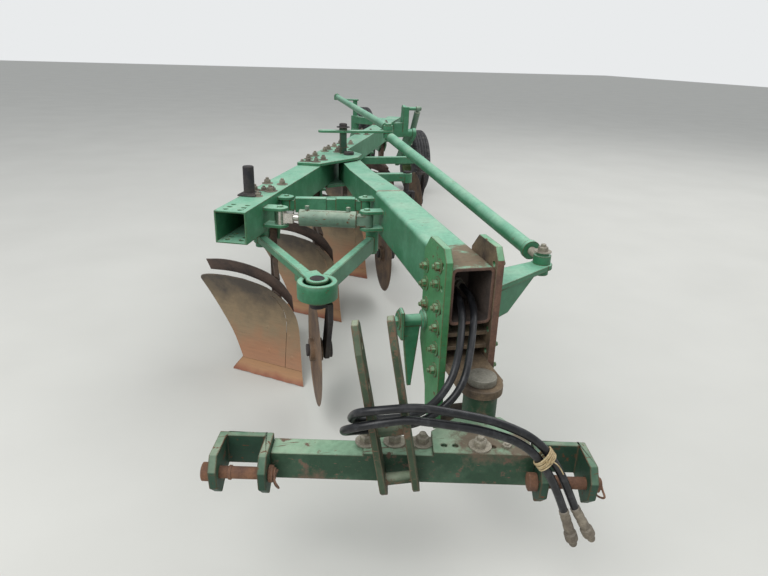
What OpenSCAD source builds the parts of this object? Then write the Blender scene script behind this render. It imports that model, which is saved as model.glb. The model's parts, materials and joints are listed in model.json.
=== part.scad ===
// Semi-mounted moldboard plough, five right-hand bottoms on a diagonal frame.
// The design datum is the pivot of the hitch beam: +Y runs rearward along the
// line of travel, +X to the plough's left, Z is height above the share edges.

/* [Frame] */
// Number of bottoms
bottom_count = 5; // [3:1:5]
// Distance between bottoms along the frame tube
bottom_pitch = 810; // [780:5:840]
// Angle of the frame tube from the line of travel
frame_angle = 23.2; // [22:0.1:25]
// Length of the frame tube
frame_len = 4600; // [4500:10:4700]
// Width and height of the square frame tube
frame_w = 152; // [140:1:160]
// Wall of the frame tube
frame_wall = 9.5; // [6:0.5:16]
// Height of the frame tube's centre line
frame_z = 850; // [820:1:880]
// Distance from the tube's front end to a point level with the beam pivot
pivot_along = 1620; // [1580:1:1660]
// Distance from the tube's centre line to the beam pivot
pivot_side = 163; // [160:1:180]
// Distance from the tube's front end to the first leg
first_leg = 531; // [500:1:560]

/* [Hitch beam] */
// Distance from the pivot to the beam's front end
beam_len = 2320; // [2250:5:2400]
// Width of the beam's front tube
beam_w = 152; // [140:1:160]
// Height of the beam's front tube
beam_h = 203; // [190:1:215]
// Wall of the beam's front tube
beam_wall = 11; // [6:0.5:16]
// Length of the beam's front tube, up to the weld seam
beam_tube_len = 1105; // [1000:5:1200]
// Width of the built-up rear part of the beam
beam_rear_w = 134; // [120:1:140]
// Radius of the barrel at the rear end of the beam
beam_barrel_r = 70; // [60:1:74]
// Radius of the beam pivot pin
pivot_pin_r = 30; // [25:1:35]
// Thickness of the plates over and under the beam pivot
pivot_plate_t = 18; // [12:1:24]

/* [Headstock] */
// Thickness of the side plates
cheek_t = 25; // [16:1:30]
// Height of the plates' top edge
cheek_top = 1020; // [1000:5:1060]
// Height of the plates' lower edge
cheek_foot = 450; // [440:5:480]
// Depth of the plates along the beam
cheek_depth = 235; // [200:5:280]
// Distance that the plates stand ahead of the beam's front end
cheek_lead = 75; // [60:1:90]
// Distance from the beam's front end to the swivel pin
swivel_lead = 210; // [200:1:240]
// Radius of the swivel pin
swivel_pin_r = 32; // [25:1:36]
// Thickness of the swivel lugs
lug_t = 28; // [20:1:34]

/* [Crossbar] */
// Spacing of the lower link points
link_span = 965; // [940:5:980]
// Radius of the lower link pins
link_pin_r = 18.3; // [14:0.1:19]
// Height of the lower link points
link_z = 430; // [400:5:460]
// Angle that the crossbar is turned away from square to the beam
hitch_turn = 13.7; // [0:0.1:20]
// Sideways distance from the swivel pin to the crossbar's middle
bar_shift = 255; // [230:5:270]
// Distance from the swivel pin to the crossbar's centre line
bar_lead = 182; // [178:1:200]
// Depth of the crossbar
bar_w = 76; // [70:1:84]
// Height of the crossbar
bar_h = 92; // [80:1:100]
// Height of the mast plates' top
mast_top = 940; // [900:5:980]
// Sideways lean of the mast plates
mast_lean = 9.8; // [0:0.1:12]
// Thickness of the mast plates
mast_t = 20; // [14:1:24]
// Gap between the mast plates
mast_gap = 76; // [60:1:84]

/* [Bottoms] */
// Distance from the leg to the share point along the line of travel
point_lead = 500; // [480:5:520]
// Distance from the middle of the leg to the landside plane
leg_in = 92; // [80:1:100]
// Width of cut of one share
share_cut = 335; // [320:5:360]
// Angle of the share edge from the line of travel
share_angle = 53; // [50:0.5:56]
// Height of the seam between share and moldboard
share_h = 60; // [50:1:75]
// Radius of the moldboard's curve
board_r = 458; // [440:1:480]
// Height at which the moldboard's hollow is deepest
board_mid_z = 300; // [290:1:310]
// Depth of the moldboard's hollow behind the share edge
board_hollow = 112; // [105:1:120]
// Thickness of the moldboard
board_t = 10; // [8:1:14]
// Height of the moldboard's wing tip
wing_z = 455; // [430:5:480]
// Reach of the wing tip from the landside plane
wing_reach = 487; // [460:1:510]
// Thickness of the leg
leg_t = 36; // [28:1:44]
// Height of the landside
landside_h = 110; // [90:1:130]
// Thickness of the landside
landside_t = 13; // [10:1:16]
// Length of the landside
landside_len = 540; // [480:10:600]

/* [Coulters] */
// Radius of a coulter disc
coulter_r = 254; // [240:1:260]
// Height of a coulter's axle
coulter_z = 350; // [340:1:370]
// Thickness of a coulter disc
coulter_t = 6; // [4:0.5:8]
// Distance that the disc's axle trails behind its swivel post
coulter_trail = 125; // [110:1:140]
// Radius of the swivel post
coulter_post_r = 19; // [16:0.5:24]

/* [Wheels] */
// Radius of the land wheel's tyre
land_tyre_r = 375; // [350:5:390]
// Width of the land wheel's tyre
land_tyre_w = 215; // [180:5:230]
// Radius of the rear wheel's tyre
rear_tyre_r = 390; // [370:5:400]
// Width of the rear wheel's tyre
rear_tyre_w = 180; // [150:5:200]
// Height of the rear wheel's axle
rear_axle_z = 600; // [560:5:620]
// Radius of a wheel rim's bead seat
rim_r = 203; // [190:1:215]

/* [Hidden] */
$fn = 48;
fit = 0.05;          // radial clearance of a pin that turns in its bore
seat = 0.3;          // clearance between pieces bolted face to face
gap = 6;             // clearance between pieces that pass each other
cut = 1;             // overrun of a cutting tool

// Places worked out from the driving sizes
tube_dir = [sin(frame_angle), cos(frame_angle)];
tube_left = [cos(frame_angle), -sin(frame_angle)];
tube_start = [for (k = [0, 1]) -pivot_along * tube_dir[k] - pivot_side * tube_left[k]];
function frame_point(along, side = 0) =
  [for (k = [0, 1]) tube_start[k] + along * tube_dir[k] + side * tube_left[k]];
frame_top = frame_z + frame_w / 2;
frame_low = frame_z - frame_w / 2;
beam_low = frame_z + 5 - beam_h / 2;
beam_top = frame_z + 5 + beam_h / 2;
swivel_y = -beam_len - swivel_lead;
function leg_point(i) = frame_point(first_leg + i * bottom_pitch);
function share_point(i) = leg_point(i) + [leg_in, -point_lead];
coulter_bottoms = [2, 3, 4];
function coulter_point(i) = share_point(i) + [15, -570];

module on_frame(along, side = 0, z = 0)
  translate([frame_point(along, side)[0], frame_point(along, side)[1], z])
    rotate([0, 0, -frame_angle]) children();
module on_hitch() translate([0, swivel_y, 0]) rotate([0, 0, -hitch_turn]) children();
module at_leg(i) translate([leg_point(i)[0], leg_point(i)[1], 0]) children();
// In a bottom's own frame the share point is the origin and the wing lies on -X
module at_bottom(i) translate([share_point(i)[0], share_point(i)[1], 0]) children();
module bar_x(r, x0, x1) translate([x0, 0, 0]) rotate([0, 90, 0]) cylinder(r = r, h = x1 - x0);
module bar_y(r, y0, y1) translate([0, y0, 0]) rotate([-90, 0, 0]) cylinder(r = r, h = y1 - y0);
// A round bar between two points
module rod_between(a, b, r) {
  v = b - a;
  translate(a)
    rotate([0, acos(v[2] / norm(v)), atan2(v[1], v[0])]) cylinder(r = r, h = norm(v));
}
// A rectangular bar laid along +Y, centred on X and Z
module box_y(w, h, y0, y1) translate([-w / 2, y0, -h / 2]) cube([w, y1 - y0, h]);
// A profile in the YZ plane given thickness along X, centred
module plate_x(t) translate([-t / 2, 0, 0]) rotate([90, 0, 90]) linear_extrude(height = t) children();
// A profile in the XZ plane carried along +Y
module plate_y(y0, y1)
  translate([0, y1, 0]) rotate([90, 0, 0]) linear_extrude(height = y1 - y0) children();
// A profile in the XY plane carried up
module plate_z(z0, z1) translate([0, 0, z0]) linear_extrude(height = z1 - z0) children();

// Diagonal frame
green = "seagreen";
rust = "sienna";
steel = "dimgray";
lug_gap = 62;        // gap of a clevis bracket
lug_wall = 16;
cyl_along = 247;     // cylinder bracket's place along the tube
cyl_side = 150;
cyl_pin_r = 14;
brace_along = 452;
brace_side = 112;
brace_pin_r = 12;
function cyl_root() = frame_point(cyl_along, cyl_side);
function brace_root() = frame_point(brace_along, brace_side);

module frame_clevis(along, side, z, half, pin_r) {
  // Two level lugs on the tube's left face, and their pin
  for (s = [-1, 1])
    on_frame(along, 0, z + s * (half + lug_wall / 2) - lug_wall / 2)
      linear_extrude(height = lug_wall)
        union() {
          translate([frame_w / 2, -38]) square([side - frame_w / 2, 76]);
          translate([side, 0]) circle(r = 38);
        }
  on_frame(along, 0, z - half - lug_wall - 8)
    translate([side, 0, 0]) cylinder(r = pin_r, h = 2 * (half + lug_wall + 8));
}
module main_frame() color(green) {
  difference() {
    on_frame(0, 0, frame_z) box_y(frame_w, frame_w, 0, frame_len);
    on_frame(0, 0, frame_z)
      box_y(frame_w - 2 * frame_wall, frame_w - 2 * frame_wall, -cut, frame_len + cut);
    for (y = [38, 83, 128])
      for (x = [-34, 34])
        on_frame(y, x, 0) cylinder(r = 10.5, h = frame_top + cut);
  }
  frame_clevis(cyl_along, cyl_side, frame_z, 33, cyl_pin_r);
  frame_clevis(brace_along, brace_side, frame_z + 12, 27, brace_pin_r);
  // Pin that carries the front coulter's right arm
  translate([v_root[0], v_root[1], hub_z - 24]) {
    cylinder(r = v_pin_r, h = frame_low - hub_z + 24 + cut);
    cylinder(r = v_pin_r + 11, h = 24 - seat);
  }
}

// The plates that carry the beam pivot, with the idler's post
idler_post = [-30, 60];
idler_post_w = 44;
lever_z = 1085;
lever_t = 16;
idler_pin_r = 16;
module pivot_outline(right_front, front, rear)
  translate(frame_point(0)) rotate(-frame_angle)
    polygon([right_front, [frame_w / 2, pivot_along - front],
      [pivot_side + 84, pivot_along - 86], [pivot_side + 84, pivot_along + 60],
      [frame_w / 2, pivot_along + rear], [-frame_w / 2, pivot_along + rear]]);
module pivot_plates() color(green) {
  difference() {
    plate_z(frame_top, frame_top + pivot_plate_t) pivot_outline([-frame_w / 2, pivot_along - 410], 410, 250);
    translate([0, 0, frame_top - cut]) cylinder(r = pivot_pin_r + fit, h = pivot_plate_t + 2 * cut);
  }
  difference() {
    plate_z(frame_low - pivot_plate_t, frame_low) pivot_outline([frame_w / 4, pivot_along - 190], 250, 100);
    translate([0, 0, frame_low - pivot_plate_t - cut])
      cylinder(r = pivot_pin_r + fit, h = pivot_plate_t + 2 * cut);
  }
  translate([idler_post[0] - idler_post_w / 2, idler_post[1] - idler_post_w / 2, frame_top])
    cube([idler_post_w, idler_post_w, lever_z - frame_top - seat]);
  translate([idler_post[0], idler_post[1], frame_top]) {
    cylinder(r = idler_pin_r, h = lever_z - frame_top + 40);
    translate([0, 0, lever_z - frame_top + lever_t + seat]) cylinder(r = 27, h = 14);
  }
}
module beam_pivot_pin() color(steel) {
  low = frame_low - pivot_plate_t - 22;
  top = frame_top + pivot_plate_t;
  translate([0, 0, low]) cylinder(r = pivot_pin_r, h = top - low);
  translate([0, 0, top + seat]) cylinder(r = 35, h = 20);
  translate([0, 0, top - cut]) cylinder(r = pivot_pin_r, h = 10);
  translate([0, 0, low]) cylinder(r = 44, h = 22 - seat);
}

// The curved working face: a level cylinder whose axis runs along the share edge
module board_space(r) {
  rotate([0, 0, share_angle]) translate([board_hollow - board_r, 0, board_mid_z])
    rotate([-90, 0, 0]) translate([0, 0, -700]) cylinder(r = r, h = 1600, $fn = 96);
}
module board_shell(inner, t) {
  rotate([0, 0, share_angle]) translate([board_hollow - board_r, 0, board_mid_z])
    rotate([-90, 0, 0]) translate([0, 0, -700])
      linear_extrude(height = 1600)
        intersection() {
          difference() {
            circle(r = inner + t, $fn = 96);
            circle(r = inner, $fn = 96);
          }
          translate([0, -inner - t]) square([inner + t, 2 * (inner + t)]);
        }
}
// An outline in reach and height, looked at along the line of travel
module outline_y(points) plate_y(-200, 900) polygon([for (p = points) [-p[0], p[1]]]);
shin_lip = 8;
board_outline = [[-shin_lip, share_h + seat], [share_cut - 50, share_h + seat], [share_cut - 5, 170],
  [share_cut + 50, 270], [wing_reach - 35, wing_z - 65], [wing_reach, wing_z],
  [wing_reach - 90, wing_z + 38], [wing_reach - 160, wing_z + 47], [250, 500], [160, 476],
  [95, 437], [45, 388], [12, 335], [-4, 270], [-shin_lip, 170]];
module moldboard(i) color(rust)
  at_bottom(i) intersection() {
    board_shell(board_r, board_t);
    outline_y(board_outline);
  }
module shares() color("peru")
  for (i = [0:bottom_count - 1])
    at_bottom(i) intersection() {
      board_shell(board_r, board_t);
      outline_y([[-shin_lip, 0], [share_cut + 6, 0], [share_cut - 50, share_h], [-shin_lip, share_h]]);
    }
// The cover board stands behind the moldboard's top edge, on its own arm
cover_back = 26;
cover_t = 7;
module cover_boards() color(steel)
  for (i = [0:bottom_count - 1])
    at_bottom(i) intersection() {
      board_shell(board_r + board_t + cover_back, cover_t);
      outline_y([[45, 430], [110, 468], [210, 496], [wing_reach - 90, 500], [wing_reach - 90, 545],
        [300, 560], [180, 548], [80, 505], [40, 455]]);
    }
module landsides() color("saddlebrown")
  for (i = [0:bottom_count - 1])
    at_bottom(i) translate([0, 158, 0])
      plate_x(landside_t) polygon([[0, 0], [landside_len, 0], [landside_len, landside_h - 25],
        [landside_len - 60, landside_h], [-14, landside_h], [-14, 40]]);

// Leg and frog of one bottom; the frog's front takes the curve of the board
leg_pin_r = 16;
leg_pin_z = 712;
head_gap = 3;
head_t = 14;
module leg_shape()
  difference() {
    polygon([[-70, 752], [62, 752], [66, 690], [40, 600], [24, 500], [26, 400], [44, 300], [52, 210],
      [-60, 210], [-86, 300], [-84, 400], [-66, 500], [-56, 600], [-74, 690]]);
    translate([0, leg_pin_z]) circle(r = leg_pin_r + fit);
  }
module frog_shape()
  polygon([[60, 18], [500, 18], [552, 60], [552, 212], [414, 250], [400, 380], [300, 420],
    [180, 420], [100, 300]]);
foot_right = leg_in - leg_t / 2 + cut;
foot_left = -landside_t / 2 - seat;
module standards() color(steel)
  for (i = [0:bottom_count - 1])
    at_leg(i) {
      plate_x(leg_t) leg_shape();
      translate([leg_in, -point_lead, 0]) {
        difference() {
          // Side plate of the frog, in line with the leg
          translate([-leg_in, 0, 0]) plate_x(leg_t) frog_shape();
          board_space(board_r + board_t + seat);
        }
        difference() {
          // Foot of the frog, which reaches the landside
          translate([-(foot_right - foot_left) / 2, 0, 0])
            plate_x(foot_right + foot_left)
              polygon([[150, 22], [440, 22], [440, landside_h - 8], [150, landside_h - 8]]);
          board_space(board_r + board_t + seat);
        }
        difference() {
          // Arm of the cover board
          translate([-leg_in, 0, 0]) plate_x(leg_t - 12)
            polygon([[120, 500], [452, 520], [452, 560], [120, 530]]);
          board_space(board_r + board_t + cover_back + cover_t + seat);
        }
      }
    }
// Trip head under the tube: saddle, two cheeks, the leg's pin and a spring housing
module trip_heads() color(green)
  for (i = [0:bottom_count - 1])
    at_leg(i) {
      for (s = [-1, 1])
        translate([s * (leg_t / 2 + head_gap + head_t / 2), 0, 0])
          plate_x(head_t) polygon([[-105, frame_low], [240, frame_low], [300, frame_low - 90],
            [220, frame_low - 122], [-30, frame_low - 122], [-105, frame_low - 50]]);
      translate([-60, -105, frame_low - head_t]) cube([120, 345, head_t]);
      translate([0, 0, leg_pin_z]) bar_x(leg_pin_r, -leg_t / 2 - 30, leg_t / 2 + 30);
      translate([0, 0, frame_low - 75]) bar_y(27, 110, 560);
    }

// Coulters
boss_r = 38;
arm_h = 58;
arm_drop = 6;        // thickness of the pad between a coulter arm and the tube
arm_top = frame_low - arm_drop;
module coulter_arms() color(green)
  for (i = coulter_bottoms)
    if (i < bottom_count) {
      c = coulter_point(i);
      // The arm runs across under the tube to the coulter's post
      start_x = tube_start[0] + (c[1] - tube_start[1]) * tan(frame_angle);
      difference() {
        union() {
          translate([start_x - 60, c[1] - 28, arm_top - arm_h]) cube([c[0] - start_x + 60, 56, arm_h]);
          translate([start_x - 60, c[1] - 28, arm_top - cut]) cube([120, 56, arm_drop + cut]);
          translate([c[0], c[1], arm_top - arm_h - 12]) cylinder(r = boss_r, h = arm_h + 12);
        }
        translate([c[0], c[1], 0]) cylinder(r = coulter_post_r + fit, h = frame_top);
      }
    }
hub = [-448, -1830];
hub_z = 690;
v_t = 38;
coulter_axle_r = 16;
module coulter_yoke(p, top, cap) color("darkolivegreen")
  translate([p[0], p[1], 0]) {
    low = coulter_z + coulter_r + 8;
    translate([0, 0, low]) cylinder(r = coulter_post_r, h = top - low + 2);
    translate([0, 0, top]) cylinder(r = coulter_post_r + 10, h = cap);
    // Flange under the carrier, then an offset arm down to the axle
    translate([0, 0, low]) cylinder(r = 32, h = 24);
    translate([-20, -20, low]) cube([82, 40, 18]);
    translate([51, 0, 0]) plate_x(22)
      polygon([[-30, low + 18], [30, low + 18], [coulter_trail + 34, coulter_z + 30],
        [coulter_trail + 34, coulter_z - 34], [coulter_trail - 34, coulter_z - 34],
        [-30, low - 60]]);
    translate([0, coulter_trail, coulter_z]) {
      bar_x(coulter_axle_r, -36, 60);
      bar_x(28, -38, -24 - seat);
      bar_x(40, 38, 76);
    }
  }
module coulter_disc(p) color(rust)
  translate([p[0], p[1] + coulter_trail, coulter_z]) {
    difference() {
      union() {
        rotate([0, 90, 0]) rotate_extrude($fn = 96)
          polygon([[0, -coulter_t / 2], [coulter_r - 26, -coulter_t / 2], [coulter_r, -0.6],
            [coulter_r, 0.6], [coulter_r - 26, coulter_t / 2], [0, coulter_t / 2]]);
        bar_x(52, -24, 32);
      }
      bar_x(coulter_axle_r + fit, -60, 60);
    }
  }

// The V bracket that carries the front coulter: one arm from the tube, one from the beam
v_root = [-650, -1130];
v_pin_r = 15;
module flat_link(a, b, ra, rb, w, z0, z1)
  plate_z(z0, z1) {
    translate(a) circle(r = ra);
    translate(b) circle(r = rb);
    translate(a) rotate(atan2(b[1] - a[1], b[0] - a[0])) translate([0, -w / 2])
      square([norm(b - a), w]);
  }
module v_arm_right() color(green)
  difference() {
    union() {
      flat_link(v_root, hub, 46, 82, 62, hub_z, hub_z + v_t);
      translate([v_root[0], v_root[1], hub_z]) cylinder(r = 34, h = frame_low - hub_z - seat);
      translate([hub[0], hub[1], hub_z]) cylinder(r = 82, h = v_t);
    }
    translate([v_root[0], v_root[1], 0]) cylinder(r = v_pin_r + fit, h = frame_low + cut);
    translate([hub[0], hub[1], 0]) cylinder(r = coulter_post_r + fit, h = frame_top);
  }
module v_arm_left() color(green)
  difference() {
    union() {
      flat_link(v_beam, hub, 44, 84, 62, hub_z - v_t - 12, hub_z - gap);
      translate([v_beam[0], v_beam[1], hub_z - v_t - 12]) cylinder(r = 32, h = beam_low - hub_z + v_t + 11);
    }
    translate([v_beam[0], v_beam[1], 0]) cylinder(r = v_pin_r + fit, h = beam_low + cut);
    translate([hub[0], hub[1], 0]) cylinder(r = coulter_post_r + 14, h = frame_top);
  }
post_along = 425;     // place of the front post along the tube
module front_post() color(steel) {
  on_frame(post_along, 0, 700) translate([-frame_w / 2 - 26, 0, 0]) cylinder(r = 22, h = 425);
  on_frame(post_along, 0, 805) translate([-frame_w / 2 - 54, -40, 0]) cube([54, 80, 90]);
}

// Beam
beam_rear_top = 918;
beam_rear_low = 784;
beam_seam = -beam_len + beam_tube_len;
cyl_beam = [-150, beam_seam - 155];
brace_beam = [-110, beam_seam + 95];
v_beam = [-86, beam_seam + 12];
module beam_lug(p, z, half, reach)
  // Two level lugs on the beam's right side
  for (s = [-1, 1])
    plate_z(z + s * (half + lug_wall / 2) - lug_wall / 2, z + s * (half + lug_wall / 2) + lug_wall / 2)
      union() {
        translate([p[0], p[1] - 34]) square([-reach - p[0], 68]);
        translate(p) circle(r = 34);
      }
module beam_pin(p, z, half, pin_r)
  translate([p[0], p[1], z - half - lug_wall - 8]) cylinder(r = pin_r, h = 2 * (half + lug_wall + 8));
module hitch_beam() color(green) {
  difference() {
    union() {
      translate([0, 0, (beam_low + beam_top) / 2]) box_y(beam_w, beam_h, -beam_len, beam_seam);
      plate_x(beam_rear_w) polygon([[beam_seam, beam_low + 6], [beam_seam, beam_top - 4],
        [-420, beam_rear_top], [0, beam_rear_top], [0, beam_rear_low], [-360, beam_rear_low],
        [-620, beam_low + 18], [-900, beam_low + 6]]);
      translate([0, 0, frame_low + seat]) cylinder(r = beam_barrel_r, h = frame_w - 2 * seat);
      beam_lug(cyl_beam, frame_z, 33, beam_w / 2 - cut);
      beam_pin(cyl_beam, frame_z, 33, cyl_pin_r);
      beam_lug(brace_beam, frame_z + 12, 27, beam_rear_w / 2 - cut);
      beam_pin(brace_beam, frame_z + 12, 27, brace_pin_r);
    }
    translate([0, 0, (beam_low + beam_top) / 2])
      box_y(beam_w - 2 * beam_wall, beam_h - 2 * beam_wall, -beam_len - cut, beam_seam - beam_wall);
    cylinder(r = pivot_pin_r + fit, h = beam_top + cut);
  }
  // Pin that carries the front coulter's left arm
  translate([v_beam[0], v_beam[1], hub_z - v_t - 24]) cylinder(r = v_pin_r, h = beam_low - hub_z + v_t + 30);
  translate([v_beam[0], v_beam[1], hub_z - v_t - 24]) cylinder(r = 26, h = 12 - seat);
  translate([v_beam[0] - 32, v_beam[1] - 45, beam_low - seat]) cube([60, 90, 12]);
  // Plate across the beam with the two fittings that the hoses are screwed to
  translate([-beam_w / 2 + cut, hose_start + 8, beam_low + cut]) cube([beam_w - 2 * cut, 12, beam_h - 2 * cut]);
  for (p = [hose_one_route[0], hose_two_route[0]])
    translate([p[0], 0, p[2]]) bar_y(16, hose_start + seat, hose_start + 9);
}

// Headstock: two cheeks bolted to the beam, shelves between them and two lugs
cheek_in = beam_w / 2 + seat;
cheek_front = -beam_len - cheek_lead;
lug_top = 613;
lug_low_top = 372;
module cheek_shape()
  polygon([[cheek_front, cheek_foot], [cheek_front, cheek_top - 40], [cheek_front + 30, cheek_top],
    [cheek_front + cheek_depth - 60, cheek_top], [cheek_front + cheek_depth, cheek_top - 60],
    [cheek_front + cheek_depth, cheek_foot + 150], [cheek_front + cheek_depth - 90, cheek_foot],
    [cheek_front + 125, lug_low_top - lug_t], [cheek_front + 14, lug_low_top - lug_t]]);
module swivel_lug(top)
  plate_z(top - lug_t, top)
    difference() {
      union() {
        translate([-cheek_in, swivel_y]) square([2 * cheek_in, cheek_front + 120 - swivel_y]);
        translate([0, swivel_y]) circle(r = 70);
      }
      translate([0, swivel_y]) circle(r = swivel_pin_r + fit);
    }
module headstock() color(green) {
  difference() {
    for (s = [-1, 1])
      translate([s * (cheek_in + cheek_t / 2), 0, 0]) plate_x(cheek_t) cheek_shape();
    for (z = [560, 640, 720, 800, 880, 960])
      translate([0, cheek_front + 30, z]) bar_x(10, -cheek_in - cheek_t - cut, cheek_in + cheek_t + cut);
  }
  for (z = [700, 648])
    translate([-cheek_in - cut, cheek_front + 30, z]) cube([2 * (cheek_in + cut), 150, 16]);
  translate([-cheek_in - cut, cheek_front + 124, cheek_foot + 110])
    cube([2 * (cheek_in + cut), 18, 140]);
  swivel_lug(lug_top);
  swivel_lug(lug_low_top);
}
// Arm on the left cheek that holds the front tie tube
tie_front = [394, -2106];
tie_arm_z = 838;
tie_arm_t = 20;
tie_pin_r = 14;
tie_eye_h = 34;
tie_play = 4;        // play of a tie's open eye on its pin
module steering_arm() color(green) {
  wall = cheek_in + cheek_t + seat;
  translate([wall, cheek_front + 40, tie_arm_z - 110]) cube([16, 180, 150]);
  difference() {
    plate_z(tie_arm_z, tie_arm_z + tie_arm_t) {
      polygon([[wall, cheek_front + 60], [tie_front[0] + 10, tie_front[1] - 42],
        [tie_front[0] + 10, tie_front[1] + 42], [wall, cheek_front + 215]]);
      translate(tie_front) circle(r = 42);
    }
    translate([-cheek_in, cheek_front, 0]) cube([2 * cheek_in, cut, frame_top]);
  }
  translate([tie_front[0], tie_front[1], tie_arm_z - 24]) {
    cylinder(r = tie_pin_r, h = tie_arm_t + tie_eye_h + 44);
    cylinder(r = 30, h = 24 + cut);
    translate([0, 0, tie_arm_t + tie_eye_h + 24 + 2 * seat]) cylinder(r = 24, h = 12);
  }
  // Flange under the arm's front edge
  difference() {
    plate_z(tie_arm_z - 105, tie_arm_z + 1)
      polygon([[wall, cheek_front + 60], [tie_front[0] - 40, tie_front[1] - 52],
        [tie_front[0] - 40, tie_front[1] - 36], [wall, cheek_front + 78]]);
    plate_y(-3000, -1000) polygon([[wall + 90, tie_arm_z - 106], [tie_front[0], tie_arm_z - 106],
      [tie_front[0], tie_arm_z - 12], [tie_front[0] - 60, tie_arm_z - 12]]);
  }
}
module stay_bracket() color(green) {
  wall = -cheek_in - cheek_t - seat;
  translate([0, cheek_front + 20, 828]) bar_x(24, wall - 108, wall - 10);
  translate([0, cheek_front + 20, 828]) bar_x(36, wall - 14, wall);
  translate([wall - 112, 0, 0]) plate_x(14) polygon([[cheek_front - 40, 560], [cheek_front + 10, 560],
    [cheek_front + 60, 800], [cheek_front + 50, 860], [cheek_front - 10, 860], [cheek_front - 30, 800]]);
}

// Hitch: crossbar with the swivel sleeve, mast plates, clevises and pins
bar_top = link_z + bar_h / 2;
sleeve_r = 56;
clevis_gap = 118;
clevis_wall = 25;
half_bar = link_span / 2 - clevis_gap / 2 - clevis_wall - seat;
module hitch_bar_at() translate([-bar_shift, -bar_lead, link_z]) children();
module crossbar() color(green)
  on_hitch() {
    hitch_bar_at() translate([-half_bar, -bar_w / 2, -bar_h / 2]) cube([2 * half_bar, bar_w, bar_h]);
    // Doubling plate under the bolts, on the left two thirds
    translate([-bar_shift - 120, -bar_lead - bar_w / 2, bar_top]) cube([500, bar_w + 20, 8]);
    difference() {
      union() {
        plate_z(bar_top, bar_top + 20)
          polygon([[-165, -bar_lead - bar_w / 2], [138, -bar_lead - bar_w / 2], [138, -110],
            [70, -20], [-70, -20], [-165, -110]]);
        translate([0, 0, lug_low_top + seat]) cylinder(r = sleeve_r, h = lug_top - lug_t - lug_low_top - 2 * seat);
        translate([-62, -bar_lead + bar_w / 2 - cut, link_z - 38]) cube([124, 110, bar_h - 8]);
      }
      translate([0, 0, 0]) cylinder(r = swivel_pin_r + fit, h = lug_top);
      for (x = [-130, -95, -20, 20])
        translate([x, -bar_lead, bar_top + 8]) cylinder(r = 9, h = 30);
    }
  }
module swivel_pin() color(steel)
  translate([0, swivel_y, 0]) {
    translate([0, 0, lug_low_top - lug_t - 26]) cylinder(r = swivel_pin_r, h = lug_top - lug_low_top + lug_t + 27);
    translate([0, 0, lug_top + seat]) cylinder(r = 48, h = 26);
    translate([0, 0, lug_low_top - lug_t - 26]) cylinder(r = 46, h = 26 - seat);
  }
mast_y = -bar_lead - bar_w / 2 - seat;
mast_depth = 78;
module hitch_mast() color("darkolivegreen")
  on_hitch()
    translate([-267, 0, link_z])
      rotate([0, -mast_lean, 0]) {
        difference() {
          for (s = [-1, 1])
            translate([s * (mast_gap + mast_t) / 2, 0, 0])
              plate_x(mast_t) polygon([[mast_y, -48], [mast_y, 500], [mast_y - 20, 518],
                [mast_y - 56, 518], [mast_y - mast_depth, 440], [mast_y - mast_depth, -20], [mast_y - 50, -48]]);
          for (z = [330, 455])
            translate([0, mast_y - 38, z])
              bar_x(16.2, -mast_gap / 2 - mast_t - cut, mast_gap / 2 + mast_t + cut);
        }
        translate([0, mast_y - 38, 175]) bar_x(22, -mast_gap / 2 - cut, mast_gap / 2 + cut);
        translate([0, mast_y - 38, 0]) bar_x(18, -mast_gap / 2 - cut, mast_gap / 2 + cut);
      }
link_y = -bar_lead - 75;
clevis_nose = 46;
module clevis_ear()
  polygon([[mast_y + bar_w, -36], [mast_y + bar_w, 66], [link_y - 14, 72], [link_y - clevis_nose, 30],
    [link_y - 40, -30], [link_y + 6, -78], [link_y + 52, -56]]);
module clevises() color("darkolivegreen")
  on_hitch()
    for (s = [-1, 1])
      translate([-bar_shift + s * link_span / 2, 0, link_z])
        difference() {
          union() {
            for (e = [-1, 1])
              translate([e * (clevis_gap + clevis_wall) / 2, 0, 0]) plate_x(clevis_wall) clevis_ear();
            translate([-clevis_gap / 2 - cut, -bar_lead + 16, -36])
              cube([clevis_gap + 2 * cut, 22, 102]);
          }
          translate([0, link_y, 0]) bar_x(link_pin_r + fit, -clevis_gap, clevis_gap);
        }
module link_pins() color(rust)
  on_hitch()
    for (s = [-1, 1])
      translate([-bar_shift + s * link_span / 2, link_y, link_z]) {
        bar_x(link_pin_r, -clevis_gap / 2 - clevis_wall - 22, clevis_gap / 2 + clevis_wall + 22);
        bar_x(27, -clevis_gap / 2 - clevis_wall - 22, -clevis_gap / 2 - clevis_wall - seat);
      }

// Tie tubes and the idler lever above the frame
tie_r = 32;
idler_pin = [285, 45];
fork_pin = [391, 3044];
tie_front_z = tie_arm_z + tie_arm_t + seat;
lever_top = lever_z + lever_t;
module front_tie() color(green) {
  start = [tie_front[0], tie_front[1], tie_front_z + tie_eye_h / 2];
  finish = [idler_pin[0], idler_pin[1], lever_z - seat - tie_eye_h / 2];
  way = (finish - start) / norm(finish - start);
  difference() {
    union() {
      translate([start[0], start[1], tie_front_z]) cylinder(r = 34, h = tie_eye_h);
      translate([finish[0], finish[1], lever_z - seat - tie_eye_h]) cylinder(r = 34, h = tie_eye_h);
      rod_between(start + way * 20, start + way * 130, 15);
      rod_between(finish - way * 110, finish - way * 20, 15);
      rod_between(start + way * 90, finish - way * 80, tie_r);
      rod_between(start + way * 84, start + way * 104, tie_r + 7);
    }
    translate([start[0], start[1], 0]) cylinder(r = tie_pin_r + fit, h = 1200);
    translate([finish[0], finish[1], 0]) cylinder(r = tie_pin_r + tie_play, h = 1200);
  }
}
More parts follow.
